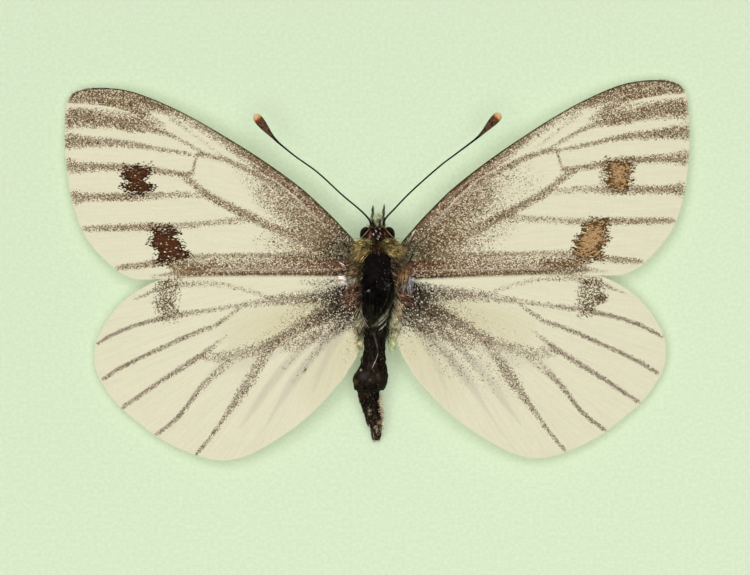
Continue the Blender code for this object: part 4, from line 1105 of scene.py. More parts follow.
def membrane_margin(wing):
    """The membrane's closed margin, its outward directions, how fringed it is, and how dark its edge line
    and painted shadow are.
    """
    loop, places = spline(wing["margin"], GRID_STEP, closed=True)
    run = np.roll(loop, -1, 0) - np.roll(loop, 1, 0)
    run /= np.linalg.norm(run, axis=1)[:, None]
    outward = np.stack([-run[:, 1], run[:, 0]], 1)
    fringed = between_places(places, *wing["fringe"])
    dark = np.zeros(len(loop))
    for first, last, strength in wing["edge_line_and_shadow"]:
        dark += strength * between_places(places, first, last)
    inset = FRINGE_INSET * fringed - np.interp(places, *np.transpose(wing["edge_out"]))
    return loop - outward * inset[:, None], outward, fringed, dark


def inside_loop(points, loop):
    """Which points are inside a closed loop."""
    within = np.zeros(len(points), bool)
    for start, end in zip(loop, np.roll(loop, -1, 0)):
        level = (start[1] > points[:, 1]) != (end[1] > points[:, 1])
        rise = end[1] - start[1]
        if rise:
            across = start[0] + (points[:, 1] - start[1]) * (end[0] - start[0]) / rise
            within ^= level & (points[:, 0] < across)
    return within


def membrane_grid(loop):
    """Points and triangles of the flat membrane: its margin, and a triangular grid inside it."""
    row_step = GRID_STEP * math.sqrt(3.0) / 2.0
    low, high = loop.min(0), loop.max(0)
    xs, ys = np.meshgrid(np.arange(low[0], high[0], GRID_STEP), np.arange(low[1], high[1], row_step))
    xs[1::2] += 0.5 * GRID_STEP
    grid = np.stack([xs.ravel(), ys.ravel()], 1)
    grid = grid[inside_loop(grid, loop)]
    clear = along_path(grid, closed_path(loop))[0] > GRID_CLEARANCE * GRID_STEP
    points = np.vstack([loop, grid[clear]])
    border = list(range(len(loop)))
    found = delaunay_2d_cdt([tuple(p) for p in points], [], [border], 1, 1e-5)
    return np.array([tuple(v) for v in found[0]]), np.array(found[2])


def flow(wing, points):
    """Coordinates along and across the rows of scales, which follow the veins."""
    x, y = points.T
    if wing["flow_centre"]:
        centre_x, centre_y = wing["flow_centre"]
        radius = np.hypot(x - centre_x, y - centre_y)
        return np.stack([radius, FLOW_CENTRE_RADIUS * np.arctan2(y - centre_y, x - centre_x)], 1)
    bend = FLOW_BEND * np.clip(FLOW_STRAIGHT_X - x, 0.0, None) ** 2 / HALF_SPAN
    low, height = FLOW_BEND_Y
    return np.stack([x, y + np.clip((y - low) / height, 0.0, 1.0) * bend], 1)


def spot_depth(points, rows):
    """How far inside a spot a point lies; negative outside it."""
    rows = np.array(rows)
    left = np.interp(points[:, 1], rows[:, 0], rows[:, 1])
    right = np.interp(points[:, 1], rows[:, 0], rows[:, 2])
    across = np.minimum(points[:, 0] - left, right - points[:, 0])
    along = np.minimum(points[:, 1] - rows[0, 0], rows[-1, 0] - points[:, 1])
    return np.minimum(across, along)


def wing_marks(wing, name, side, points, under):
    """What the wing's material reads at each neutral point of the upper or the under side."""
    shifted = points - np.array([0.0, MARK_SHIFT_Y[side]])
    marks = {}
    for key in ("dusk", "pale", "shade", "yellow", "rust"):
        mirrored = cover_by_strokes(shifted, wing[key])
        own = cover_by_strokes(points, ONE_SIDED[name].get(key, {}))
        marks[key] = 1.0 - (1.0 - mirrored) * (1.0 - own)
    seen = place_on_side(wing, points, side)
    marks["spot"] = np.max([spot_depth(seen, rows) for rows in SPOTS[name]], axis=0)
    vein = vein_distance(wing, points)
    marks["vein"] = np.exp(-(vein / VEIN_HALF_WIDTH) ** 2)
    marks["dusk"] *= 1.0 - marks["pale"]
    if under:
        # the under side is paler and yellower, with greyish dust along the veins
        for key, share in UNDER_SHARES.items():
            marks[key] *= share
        marks["dusk"] += UNDER_DUST * (1.0 - smooth(*UNDER_DUST_FADE, vein))
        marks["yellow"] = smooth(*wing["under_yellow"], points[:, 0])
        marks["spot"] -= UNDER_SPOT_INSET
    marks["root"] = 1.0 - smooth(*wing["root_reach"], np.hypot(points[:, 0], points[:, 1]))
    return marks


def make_wing(name, wing, lift, side, seed):
    """A wing's membrane with raised veins, an upper and an under side, and its fringe."""
    random = np.random.default_rng(seed)
    loop, outward, fringed, dark = membrane_margin(wing)
    flat, triangles = membrane_grid(loop)
    first, second, third = flat[triangles].transpose(1, 0, 2)
    to_second, to_third = second - first, third - first
    clockwise = to_second[:, 0] * to_third[:, 1] < to_second[:, 1] * to_third[:, 0]
    triangles[clockwise] = triangles[clockwise][:, ::-1]

    edge = smooth(0.0, EDGE_FADE, along_path(flat, closed_path(loop))[0])
    vein = vein_distance(wing, flat)
    ridge = np.exp(-(vein / VEIN_HALF_WIDTH) ** 2) * edge
    relief = VEIN_RIDGE * (1.0 - 2.0 * smooth(0.05, CELL_HALF_WIDTH, vein)) * edge
    x, y = flat.T
    relief += RIPPLE * edge * np.sin(1.15 * x + 0.7 * y + seed) * np.sin(1.35 * y - 0.4 * x)
    thickness = EDGE_THICKNESS + (WING_THICKNESS - EDGE_THICKNESS) * edge + VEIN_THICKNESS * ridge

    at = place_on_side(wing, flat, side)
    height = wing_height(*at.T) + lift + relief
    upper = np.column_stack([side * at[:, 0], at[:, 1], height + 0.5 * thickness])
    lower = np.column_stack([side * at[:, 0], at[:, 1], height - 0.5 * thickness])
    count, rim = len(flat), len(loop)
    ring = np.arange(rim)
    after = np.roll(ring, -1)
    up = triangles if side > 0 else triangles[:, ::-1]
    walls = np.column_stack([after, ring, ring + count, after + count])
    if side > 0:
        walls = walls[:, ::-1]
    fringe_points, fringe_faces, fringe_roots = make_fringe(
        wing, loop, outward, fringed, side, lift, random)
    faces = up.tolist() + (up[:, ::-1] + count).tolist() + walls.tolist()
    faces += (fringe_faces + 2 * count).tolist()
    points = np.vstack([upper, lower, fringe_points])
    obj = new_object(name + "_membrane", points, faces, wing_material(name, side))
    smooth_faces = np.ones(len(obj.data.polygons), bool)
    smooth_faces[-len(fringe_faces):] = False
    obj.data.polygons.foreach_set("use_smooth", smooth_faces)
    sharpen_rim(obj.data, rim, count)

    marks = [wing_marks(wing, name, side, flat, False), wing_marks(wing, name, side, flat, True),
             wing_marks(wing, name, side, fringe_roots, False)]
    # at the leading edge there is a dark line, along the rear edge near the root a painted shadow, and at
    # the fringe the dusky scales end early
    away, nearest = along_path(flat, closed_path(np.column_stack([loop, dark, fringed])))
    line = nearest[:, 0] * (1.0 - smooth(*LINE_FADE, away))
    clear = 1.0 - 0.5 * nearest[:, 1] * (1.0 - smooth(0.0, FRINGE_FADE, away))
    for index in (0, 1):
        marks[index]["dusk"] *= clear
    for key in marks[0]:
        set_attribute(obj, key, np.concatenate([part[key] for part in marks]))
    bare = np.zeros(len(fringe_roots))
    set_attribute(obj, "line", np.concatenate([line, line, bare]))
    set_attribute(obj, "rim", np.concatenate([np.zeros(2 * count), bare + 1.0]))
    neutral = np.vstack([flat, flat, fringe_roots])
    offset = PATTERN_STEP * seed
    below = np.concatenate([np.zeros(count), np.full(count, UNDER_STEP), bare])
    grain = turned(neutral, wing["grain_turn_deg"]) / (SCALE_LENGTH, 1.0) + offset
    set_attribute(obj, "grain", np.column_stack([grain, below]))
    set_attribute(obj, "flow", np.column_stack([flow(wing, neutral) + offset, below]))
    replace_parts(obj, name)


def sharpen_rim(mesh, rim, count):
    """The rim's wall isn't shaded as one with the upper and under side."""
    ends = np.zeros(2 * len(mesh.edges), np.int32)
    mesh.edges.foreach_get("vertices", ends)
    first, second = ends.reshape(-1, 2).T
    step = np.isin(np.abs(first - second), (1, rim - 1))
    lower, higher = np.minimum(first, second), np.maximum(first, second)
    on_rim = (higher < rim) | ((lower >= count) & (higher < count + rim))
    mesh.edges.foreach_set("use_edge_sharp", step & on_rim)


def make_fringe(wing, loop, outward, fringed, side, lift, random):
    """Short, thin, three-sided scales that stand out from the membrane's margin."""
    margin = closed_path(np.column_stack([loop, outward, fringed]))
    run = run_along(margin[:, :2])
    stations = np.arange(0.0, run[-1], FRINGE_STEP)
    stations = stations + random.uniform(-0.3, 0.3, len(stations)) * FRINGE_STEP
    stations = np.clip(stations, 0.0, run[-1] - 1e-6)
    here = np.column_stack([np.interp(stations, run, values) for values in margin.T])
    here = here[here[:, 4] > 0.5]
    root, way = here[:, :2], here[:, 2:4]
    sway = random.normal(0.0, FRINGE_SWAY, len(root))
    way = way + np.column_stack([-way[:, 1], way[:, 0]]) * sway[:, None]
    length = random.uniform(*FRINGE_LENGTH, len(root))
    root = root - way * FRINGE_INSET
    across = np.column_stack([-way[:, 1], way[:, 0]])
    rise = random.normal(0.0, FRINGE_RISE, len(root))
    points = []
    for share, width in FRINGE_RINGS:
        middle = root + way * (length * share)[:, None]
        for sideways, up in FRINGE_CORNERS if width else FRINGE_CORNERS[:1]:
            at = place_on_side(wing, middle + across * (FRINGE_RADIUS * width * sideways), side)
            z = wing_height(*at.T) + lift + rise * share + FRINGE_RADIUS * width * up
            points.append(np.column_stack([side * at[:, 0], at[:, 1], z]))
    faces = strand_faces(len(FRINGE_RINGS), len(root))
    if side < 0:
        faces = faces[:, ::-1]
    return np.stack(points, 1).reshape(-1, 3), faces, np.repeat(root, len(points), 0)


def wing_material(name, side):
    """Cream scales with dusky and dark ones among them, cell by cell."""
    shade = Material(name, 0.75, 0.10)
    kind = "hindwing" if "hindwing" in name else "forewing"
    grain = shade.attribute("grain", "Vector")
    rows = shade.attribute("flow", "Vector")
    distance, dice = shade.cells(grain, 1.0 / SCALE_SIZE)
    first, second, third = dice[0], dice[1], dice[2]
    patch = shade.noise(grain, 1.6, 3.0)
    streak = shade.noise(shade.scaled(rows, 0.30, 5.0), 1.0, 3.0)
    fine = shade.noise(shade.scaled(rows, 0.9, 13.0), 1.0, 2.0)

    # the pale ground, with painted shade along the folds, and darker where there are dusky scales, most of
    # all on a vein
    dusk, root, rust = shade.attribute("dusk"), shade.attribute("root"), shade.attribute("rust")
    ground = shade.mix(shade.attribute("yellow"), CREAM, CREAM_YELLOW)
    ground = shade.mix(shade.attribute("shade"), ground, FOLD_SHADE)
    dust = shade.mix(root, DUSK_GROUND[kind], ROOT_GROUND[kind])
    dust = shade.mix(shade.times(rust, 0.8), dust, RUST_GROUND)
    ground = shade.mix(shade.between(dusk, 0.0, 0.9, 0.0, 0.92), ground, dust)
    core = shade.times(shade.attribute("vein"), shade.between(dusk, 0.12, 0.5, 0.0, 0.85))
    core = shade.times(core, shade.between(root, 0.0, 0.4, 1.0, 0.0))
    ground = shade.mix(core, ground, VEIN_GROUND[kind])
    tone = shade.plus(shade.between(streak, 0.3, 0.7, 0.955, 1.02),
                      shade.between(fine, 0.3, 0.7, -0.02, 0.02))
    tone = shade.plus(tone, shade.between(second, 0.0, 1.0, -0.03, 0.03))
    ground = shade.brighten(ground, tone)

    # dusky scales, one cell each
    uneven = shade.plus(shade.between(patch, 0.3, 0.7, 0.88, 1.12),
                        shade.between(streak, 0.3, 0.7, -0.08, 0.08))
    share = shade.times(dusk, uneven)
    dusky = shade.between(shade.minus(share, first), -0.01, 0.05)
    dark = shade.mix(root, DUSK_OUTER[kind], DUSK_ROOT[kind])
    dark = shade.mix(rust, dark, RUST)
    dark = shade.brighten(dark, shade.between(second, 0.0, 1.0, 0.25, 2.2))
    dusky = shade.times(dusky, shade.between(core, 0.0, 0.85, 0.88, 0.42))
    colour = shade.mix(dusky, ground, dark)
    contrast = shade.times(shade.between(dusk, 0.0, 0.5), shade.between(third, 0.0, 1.0, -0.62, 0.72))
    clump = shade.between(shade.noise(grain, 4.5, 2.0), 0.36, 0.64, -0.85, 0.62)
    contrast = shade.plus(contrast, shade.times(clump, shade.times(root, dusk)))
    colour = shade.brighten(colour, shade.plus(contrast, 1.0))
    lit = shade.between(root, 0.0, 0.8, 0.85, LIT_AT_ROOT[kind])
    lit = shade.times(lit, shade.between(dusk, 0.2, 0.6))
    fleck = shade.times(shade.between(third, 0.92, 0.93), lit)
    fleck = shade.math("MAXIMUM", fleck, shade.times(shade.attribute("pale"), 0.85))
    colour = shade.mix(fleck, colour, PALE_SCALE)
    # the dark line at the leading edge, and a painted shadow along the forewing's rear edge near the root
    colour = shade.mix(shade.attribute("line"), colour, EDGE_LINE_AND_SHADOW)

    # the spots, of longer scales, that thin out at the edges
    _, spot_dice = shade.cells(shade.scaled(grain, *SPOT_SCALE), 1.0)
    depth = shade.attribute("spot")
    chance = shade.times(shade.between(depth, *RAGGED, 0.0, SPOT_CHANCE[side]),
                         shade.between(fine, 0.3, 0.7, 0.8, 1.2))
    inside = shade.between(shade.minus(chance, spot_dice[0]), 0.0, 0.08)
    if kind == "hindwing":
        inside = shade.times(inside, shade.between(first, 0.60, 0.64, 0.95, 0.0))
        spot = shade.brighten(SPOT_HIND, shade.between(second, 0.0, 1.0, 0.30, 1.9))
    else:
        most, edge = SPOT_COLOURS[side]
        level = shade.between(depth, 0.0, 0.75, 0.05, 0.90)
        edging = shade.between(shade.minus(spot_dice[1], level), 0.0, 0.05)
        spot = shade.mix(edging, most, edge)
        spot = shade.brighten(spot, shade.between(shade.plus(second, spot_dice[2]), 0.3, 1.7, 0.65, 1.35))
    colour = shade.mix(inside, colour, spot)
    rim = shade.times(shade.attribute("rim"), shade.between(dusk, 0.0, 0.5, 0.9, 0.15))
    colour = shade.mix(rim, colour, FRINGE_PALE)
    shade.colour(colour)
    shade.bump(shade.minus(1.0, distance), 0.35, 0.012)
    return shade.material


def make_wings():
    """The hindwings, and the forewings above them."""
    seed = 1
    for kind, wing, lift in (("hindwing", HINDWING, 0.0), ("forewing", FOREWING, FOREWING_LIFT)):
        for prefix, side in (("left_", -1), ("right_", 1)):
            make_wing(prefix + kind, wing, lift, side, seed)
            seed += 1


# ---------------------------------------------------------------- hair, tubes and bodies
def unit(vectors):
    """The same directions, each of length 1."""
    return vectors / np.maximum(np.linalg.norm(vectors, axis=-1, keepdims=True), 1e-9)


def along_skin(ways, normals):
    """The directions, turned so that they run along the skin."""
    return unit(ways - normals * (ways * normals).sum(1)[:, None])


def strand_mesh(paths, normals, radii, widths):
    """Three-sided strands along paths of (strand, ring, xyz), each closed and ending in a point."""
    count, rings, _ = paths.shape
    ways = unit(np.gradient(paths, axis=1))
    across = unit(np.cross(ways, normals[:, None, :]))
    up = np.cross(across, ways)
    points, along = [], []
    for ring in range(rings - 1):
        for turn in np.arange(3) * math.tau / 3.0:
            offset = up[:, ring] * math.cos(turn) + across[:, ring] * math.sin(turn)
            points.append(paths[:, ring] + offset * (radii * widths[ring])[:, None])
            along.append(ring / (rings - 1))
    points.append(paths[:, -1])
    along.append(1.0)
    return {
        "points": np.stack(points, 1).reshape(-1, 3),
        "faces": strand_faces(rings, count),
        "owner": np.repeat(np.arange(count), len(points)),
        "along": np.tile(along, count),
    }


def combed(roots, ways, normals, lengths, sweep, random, radius):
    """Strands from their roots: sweep is how far the tips bend away from the first direction."""
    share = np.linspace(0.0, 1.0, 4)[None, :, None]
    run = ways[:, None, :] * share + sweep[:, None, :] * share ** 2
    paths = roots[:, None, :] + run * lengths[:, None, None]
    radii = radius * random.uniform(0.7, 1.3, len(roots))
    return strand_mesh(paths, normals, radii, (0.8, 1.0, 0.7))


def tuft(start, end, start_spread, end_spread, arch, count, radius, dark, light, random):
    """Strands from one place to another, and a colour between dark and light for each."""
    spread = random.normal(0.0, 0.5, (count, 3)) * start_spread
    begin = np.array(start) + spread
    finish = np.array(end) + (1.0 - CONVERGE) * spread + random.normal(0.0, 0.5, (count, 3)) * end_spread
    share = np.linspace(0.0, 1.0, 7)[None, :, None]
    bow = np.array(arch) * random.uniform(0.7, 1.3, (count, 1))
    paths = begin[:, None, :] + (finish - begin)[:, None, :] * share
    paths = paths + bow[:, None, :] * 4.0 * share * (1.0 - share)
    normals = np.tile((0.0, 0.0, 1.0), (count, 1)) + random.normal(0.0, 0.1, (count, 3))
    radii = radius * random.uniform(0.7, 1.3, count)
    mesh = strand_mesh(paths, unit(normals), radii, (0.7, 1.0, 1.0, 0.9, 0.7, 0.45))
    return mesh, blend(dark, light, random.uniform(0.0, 1.0, count) ** 1.3)


def blend(first, second, shares):
    """Scene-linear colours between two sRGB ones."""
    first, second = np.array(linear(first)[:3]), np.array(linear(second)[:3])
    return first + (second - first) * np.asarray(shares)[:, None]


def mixed(first, second, share):
    """Colours, row by row, between two tables of them."""
    return first + (second - first) * np.asarray(share)[:, None]


def fur_object(name, parts, material):
    """One piece from several strand meshes, with each strand's colour."""
    points, faces, tints, along, seen = [], [], [], [], 0
    for mesh, colours in parts:
        points.append(mesh["points"])
        faces.append(mesh["faces"] + seen)
        tints.append(colours[mesh["owner"]])
        along.append(mesh["along"])
        seen += len(mesh["points"])
    obj = new_object(name, np.vstack(points), np.vstack(faces), material)
    set_attribute(obj, "tint", np.vstack(tints))
    set_attribute(obj, "along", np.concatenate(along))
    return obj


def lumps(points, size, random):
    """Smooth uneven heights, mostly between -1 and 1, of lumps about this large."""
    ways = unit(random.normal(size=(LUMP_WAVES, 3))) * random.uniform(0.6, 1.5, (LUMP_WAVES, 1))
    phases = random.uniform(0.0, math.tau, LUMP_WAVES)
    return np.sin(points @ ways.T * math.tau / size + phases).sum(1) / math.sqrt(0.5 * LUMP_WAVES) / 1.5


def station_at(stations, y):
    """Middle x, half width, middle z and half height of a body's cross-section at y."""
    rows = np.array(sorted(stations))
    return [np.interp(y, rows[:, 0], rows[:, k]) for k in (1, 2, 3, 4)]


def on_body(stations, y, turn, inset):
    """Points and outward directions on a body's surface. turn is 0 to the right and a quarter up."""
    x, half_width, z, half_height = station_at(stations, y)
    inset_x, inset_z = np.broadcast_to(inset, 2)
    half_width = np.maximum(half_width - inset_x, 0.05)
    half_height = np.maximum(half_height - inset_z, 0.05)
    points = np.column_stack([x + half_width * np.cos(turn), y, z + half_height * np.sin(turn)])
    normals = np.column_stack([np.cos(turn) / half_width, np.zeros(len(turn)), np.sin(turn) / half_height])
    return points, unit(normals)


def on_stalk(rows, first_share, depth, count, random):
    """Roots of hair on a stalk of (x, y, z, radius), the stalk's way and the way out of it."""
    path, _ = spline(rows, 0.02)
    pick = random.integers(int(first_share * len(path)), len(path) - 4, count)
    way = unit(path[pick + 3, :3] - path[pick, :3])
    out = along_skin(random.normal(size=(count, 3)), way)
    return path[pick, :3] + out * (depth * path[pick, 3])[:, None], way, out


def body_core(name, stations, inset, sides, step, relief, material):
    """A closed body through the stations, inset by a little and with an uneven surface."""
    inset_x, inset_z = np.broadcast_to(inset, 2)
    rows, _ = spline([(y, x, w - inset_x, z, h - inset_z) for y, x, w, z, h in stations], step)
    if rows[0, 0] > rows[-1, 0]:
        rows = rows[::-1]
    turn = np.tile(np.arange(sides) * math.tau / sides, len(rows))
    y, x, half_width, z, half_height = np.repeat(rows, sides, 0).T
    points = np.column_stack([x + half_width * np.cos(turn), y, z + half_height * np.sin(turn)])
    normals = unit(np.column_stack([np.cos(turn), np.zeros(len(y)), np.sin(turn)]))
    points = points + normals * relief(points, turn)[:, None]
    ends = rows[[0, -1]][:, [1, 0, 3]]
    faces = ring_faces(len(rows), sides, flip=True)
    return new_object(name, np.vstack([points, ends]), faces, material)


def tube(rows, step, sides, joint=None, middle=1.0):
    """A round closed tube through rows of (x, y, z, radius), with each point's run in mm.

    With joints this far apart, the radius swells and shrinks about its middle share.
    """
    rows, _ = spline(rows, step)
    centres, radii = rows[:, :3], rows[:, 3].copy()
    run = run_along(centres)
    if joint:
        radii = radii * (middle + JOINT_SWELL * np.cos(run * math.tau / joint))
    ways = unit(np.gradient(centres, axis=0))
    across = np.cross(ways[0], (0.3, 0.2, 1.0))
    turns = np.arange(sides)[:, None] * math.tau / sides
    points = []
    for centre, way, radius in zip(centres, ways, radii):
        across = unit(across - way * (across @ way))
        up = np.cross(way, across)
        points.append(centre + radius * (across * np.cos(turns) + up * np.sin(turns)))
    points.append(centres[[0, -1]] + ways[[0, -1]] * radii[[0, -1]][:, None] * [[-0.4], [0.4]])
    runs = np.r_[np.repeat(run, sides), 0.0, run[-1]]
    return np.vstack(points), ring_faces(len(centres), sides), runs


# ---------------------------------------------------------------- materials of the body
def fur_material(name):
    """Hair in each strand's own colour, with painted shade towards the root and in blotches that stand for
    the gaps.
    """
    fur = Material(name, 0.7, 0.03)
    along = fur.attribute("along")
    where = fur.where()
    # painted shade: darker towards the root, and in blotches for the gaps between locks
    tone = fur.times(fur.between(along, 0.0, 0.6, 0.35, 1.05),
                     fur.between(fur.noise(where, 3.2 / MM, 3.0), 0.35, 0.65, 0.40, 1.6))
    fur.colour(fur.brighten(fur.attribute("tint", "Vector"), tone))
    return fur.material


def skin_material(name, base, patch, roughness, specular, patched=False):
    """Dark horny skin or felt with streaks that run along the body and small pale specks."""
    skin = Material(name, roughness, specular)
    where = skin.where()
    streak = skin.noise(skin.scaled(where, 1.0, 0.25), 9.0 / MM, 3.0)
    cloud = skin.noise(where, 1.3 / MM, 3.0)
    colour = skin.mix(skin.between(streak, 0.42, 0.68), base, patch)
    colour = skin.brighten(colour, skin.between(cloud, 0.3, 0.7, 0.65, 1.4))
    distance, dice = skin.cells(where, 11.0 / MM)
    speck = skin.times(skin.between(dice[0], 0.95, 0.96), skin.between(distance, 0.2, 0.45, 1.0, 0.0))
    colour = skin.mix(skin.times(speck, 0.45), colour, (176, 160, 136))
    if patched:
        # the abdomen's stains, and painted highlights on its swelling
        colour = skin.mix(skin.attribute("stain_and_highlight_share"), colour, skin.attribute("patch", "Vector"))
    skin.colour(colour)
    skin.bump(skin.plus(streak, skin.times(cloud, 1.5)), 0.5, 0.03)
    return skin.material


def eye_material():
    """Dark, faceted, with slanting bands and a pale line of scales along its edge."""
    eye = Material("eye", 0.35, 0.04)
    where = eye.where()
    distance, dice = eye.cells(where, 24.0 / MM)
    slant = eye.attribute("slant")
    wave = eye.math("SINE", eye.times(slant, 26.0))
    band = eye.between(wave, -0.3, 0.9)
    colour = eye.mix(band, (6, 4, 3), (42, 23, 11))
    colour = eye.brighten(colour, eye.between(dice[0], 0.0, 1.0, 0.75, 1.2))
    inner = eye.between(slant, -0.02, 0.05, 1.0, 0.0)
    colour = eye.mix(eye.times(inner, 0.8), colour, (40, 22, 12))
    line = eye.times(eye.between(slant, 0.06, 0.08), eye.between(slant, 0.100, 0.120, 0.75, 0.0))
    colour = eye.mix(line, colour, (188, 156, 124))
    eye.colour(colour)
    eye.bump(eye.minus(1.0, distance), 0.3, 0.006)
    return eye.material


def antenna_material(name):
    """Nearly black, ringed with pale specks. The club is brown and its tip pale orange."""
    horn = Material(name, 0.55, 0.12)
    where = horn.where()
    rest = horn.attribute("rest")
    ring = horn.math("SINE", horn.times(rest, math.tau / ANTENNA_JOINT))
    grain = horn.noise(where, 14.0 / MM, 2.0)
    colour = horn.mix(horn.between(ring, 0.75, 0.98, 0.0, 0.35), (10, 12, 2), (62, 60, 36))
    club = horn.between(rest, 1.7, 2.3, 1.0, 0.0)
    mottle = horn.noise(where, 7.0 / MM, 2.0)
    brown = horn.mix(horn.between(mottle, 0.36, 0.66), (20, 13, 6), (118, 84, 62))
    brown = horn.mix(horn.between(rest, 0.50, 0.85, 0.60, 0.0), brown, (120, 62, 22))
    colour = horn.mix(club, colour, brown)
    tip = horn.between(horn.plus(rest, horn.between(grain, 0.3, 0.7, -0.08, 0.08)), 0.30, 0.48, 1.0, 0.0)
    pale = horn.mix(horn.between(rest, 0.0, 0.22), (248, 220, 168), (230, 176, 122))
    colour = horn.mix(tip, colour, pale)
    horn.colour(colour)
    horn.bump(horn.plus(ring, grain), 0.25, 0.01)
    return horn.material


def leg_material():
    """Brown with pale scales, darker to the foot."""
    leg = Material("leg", 0.5, 0.3)
    where = leg.where()
    scales = leg.noise(where, 16.0 / MM, 2.0)
    colour = leg.mix(leg.between(scales, 0.4, 0.62), (92, 74, 52), (176, 156, 122))
    share = leg.attribute("share")
    colour = leg.mix(leg.between(share, 0.55, 0.95, 0.0, 0.55), colour, (70, 50, 34))
    leg.colour(colour)
    leg.bump(scales, 0.4, 0.01)
    return leg.material


# ---------------------------------------------------------------- the body's pieces
def make_thorax():
    """A skin of dark felt, an even coat, hair over the wings' roots, and the tufts."""
    random = np.random.default_rng(SEEDS["thorax"])

    def relief(points, turn):
        return 0.04 * lumps(points, 1.1, random) + 0.02 * lumps(points, 0.3, random)

    felt = skin_material("thorax_skin", (10, 8, 8), (24, 20, 17), 0.8, 0.05)
    core = body_core("thorax_skin", THORAX, FUR_DEPTH, 48, 0.10, relief, felt)
    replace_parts(core, "thorax")

    # the even coat, combed back; near the waist it turns in to the middle line
    count, reach, sizes, radius = COATS["thorax"]
    y = random.uniform(*reach, count)
    turn = random.uniform(-0.25 * math.pi, 1.25 * math.pi, count)
    keep = random.uniform(0.0, 1.35, count) < station_at(THORAX, y)[1]
    y, turn = y[keep], turn[keep]
    count = len(y)
    roots, normals = on_body(THORAX, y, turn, ROOT_DEPTH)
    side = np.sign(roots[:, 0] - THORAX_MIDDLE_X)
    aside = np.abs(roots[:, 0] - THORAX_MIDDLE_X)
    lean = 0.10 * side * aside + random.normal(0.0, 0.16, count)
    lean -= 0.55 * side * smooth(2.4, 3.8, -y) * smooth(0.1, 0.8, aside)
    ways = along_skin(np.column_stack([lean, -np.ones(count), np.zeros(count)]), normals)
    ways = unit(ways + normals * random.uniform(0.08, 0.20, count)[:, None])
    lengths = random.uniform(*sizes, count) * (1.0 - 0.35 * smooth(0.9, 1.7, y))
    sweep = -normals * 0.10 + random.normal(0.0, 0.05, normals.shape)
    coat = combed(roots, ways, normals, lengths, sweep, random, radius)
    tone = random.uniform(0.0, 1.0, count) ** 2
    tints = blend(*HAIR["coat"], tone)
    olive = smooth(1.00, 1.25, aside) * random.uniform(0.0, 0.7, count)
    tints = mixed(tints, blend(*HAIR["olive"], tone), olive)
    rear = smooth(2.2, 3.6, -y)
    tints = mixed(tints, blend(*HAIR["rear"], tone), rear)
    golden = smooth(1.15, 1.50, y) * smooth(0.25, 0.6, aside)
    tints = mixed(tints, blend(*HAIR["golden"], random.uniform(0.0, 1.0, count)), golden)
    # a few grey strands: painted glints on the coat
    grey = random.uniform(0.0, 1.0, count) > 0.99
    tints = mixed(tints, blend(*HAIR["grey"], tone), grey)
    parts = [(coat, tints), side_hair(-1, random), side_hair(1, random)]
    parts += [tuft(*row, random) for row in THORAX_TUFTS]
    fur_object("thorax_fur", parts, fur_material("thorax_hair"))


def side_hair(sign, random):
    """Hair that stands out from the thorax's side and lies over the wings' roots."""
    count, reach, sizes, radius = COATS["side"]
    y = random.uniform(*reach, count)
    up = random.uniform(0.05, 0.19, count) + 0.06 * smooth(-0.6, -0.2, y)
    up *= math.pi
    turn = up if sign > 0 else math.pi - up
    roots, normals = on_body(THORAX, y, turn, ROOT_DEPTH)
    lean = random.normal(0.85, 0.25, count) * sign
    ways = np.column_stack([lean, random.normal(-0.75, 0.25, count), np.zeros(count)])
    ways = unit(ways + np.array((0.0, 0.0, 0.05)))
    # no strand may end inside the wing's sheet below it
    floor_z = np.where(y > FOREWING_REAR_Y, *HAIR_FLOOR_Z)
    drop = np.maximum(roots[:, 2] - floor_z, 0.0) * 0.8
    lengths = random.uniform(*sizes, count)
    sweep = np.column_stack([0.0 * y, 0.0 * y, -drop / lengths])
    mesh = combed(roots, ways, normals, lengths, sweep, random, radius)
    tone = random.uniform(0.0, 1.0, count) ** 2
    tints = blend(*HAIR["side"], tone)
    light = random.uniform(0.0, 1.0, count) > (0.93 if sign < 0 else 0.76)
    return mesh, mixed(tints, blend(*HAIR["light_side"], tone), light)


def make_head():
    """A skin of dark felt under short hair, tufts and pale specks."""
    random = np.random.default_rng(SEEDS["head"])

    def relief(points, turn):
        return 0.03 * lumps(points, 0.5, random)

    felt = skin_material("head_skin", (10, 6, 5), (58, 34, 20), 0.6, 0.05)
    core = body_core("head_skin", HEAD, HEAD_FUR_DEPTH, 40, 0.07, relief, felt)
    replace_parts(core, "head")
    count, reach, sizes, radius = COATS["head"]
    y = random.uniform(*reach, count)
    turn = random.uniform(-0.9 * math.pi, 0.9 * math.pi, count) + 0.5 * math.pi
    roots, normals = on_body(HEAD, y, turn, HEAD_ROOT_DEPTH)
    forward = random.normal(-0.5, 0.5, count) + 1.6 * smooth(2.7, 3.1, y)
    ways = np.column_stack([random.normal(0.0, 0.35, count), forward, np.zeros(count)])
    ways = unit(along_skin(ways, normals) + normals * random.uniform(0.15, 0.55, count)[:, None])
    lengths = random.uniform(*sizes, count)
    hair = combed(roots, ways, normals, lengths, -0.1 * normals, random, radius)
    tone = random.uniform(0.0, 1.0, count) ** 2
    tints = blend(*HAIR["head"], tone)
    pale = random.uniform(0.0, 1.0, count) > 0.935
    tints = mixed(tints, blend(*HAIR["pale_head"], tone), pale)
    parts = [(hair, tints)]
    parts += [tuft(*row, random) for row in HEAD_TUFTS]
    for x, y, z in HEAD_SPECKS:
        start, end = (x, y, z), (x + 0.05, y - 0.07, z + 0.03)
        colours = HAIR["head_speck"]
        parts.append(tuft(start, end, 0.07, 0.05, (0.0, 0.0, 0.0), 7, 0.018, *colours, random))
    fur_object("head_fur", parts, fur_material("head_hair"))


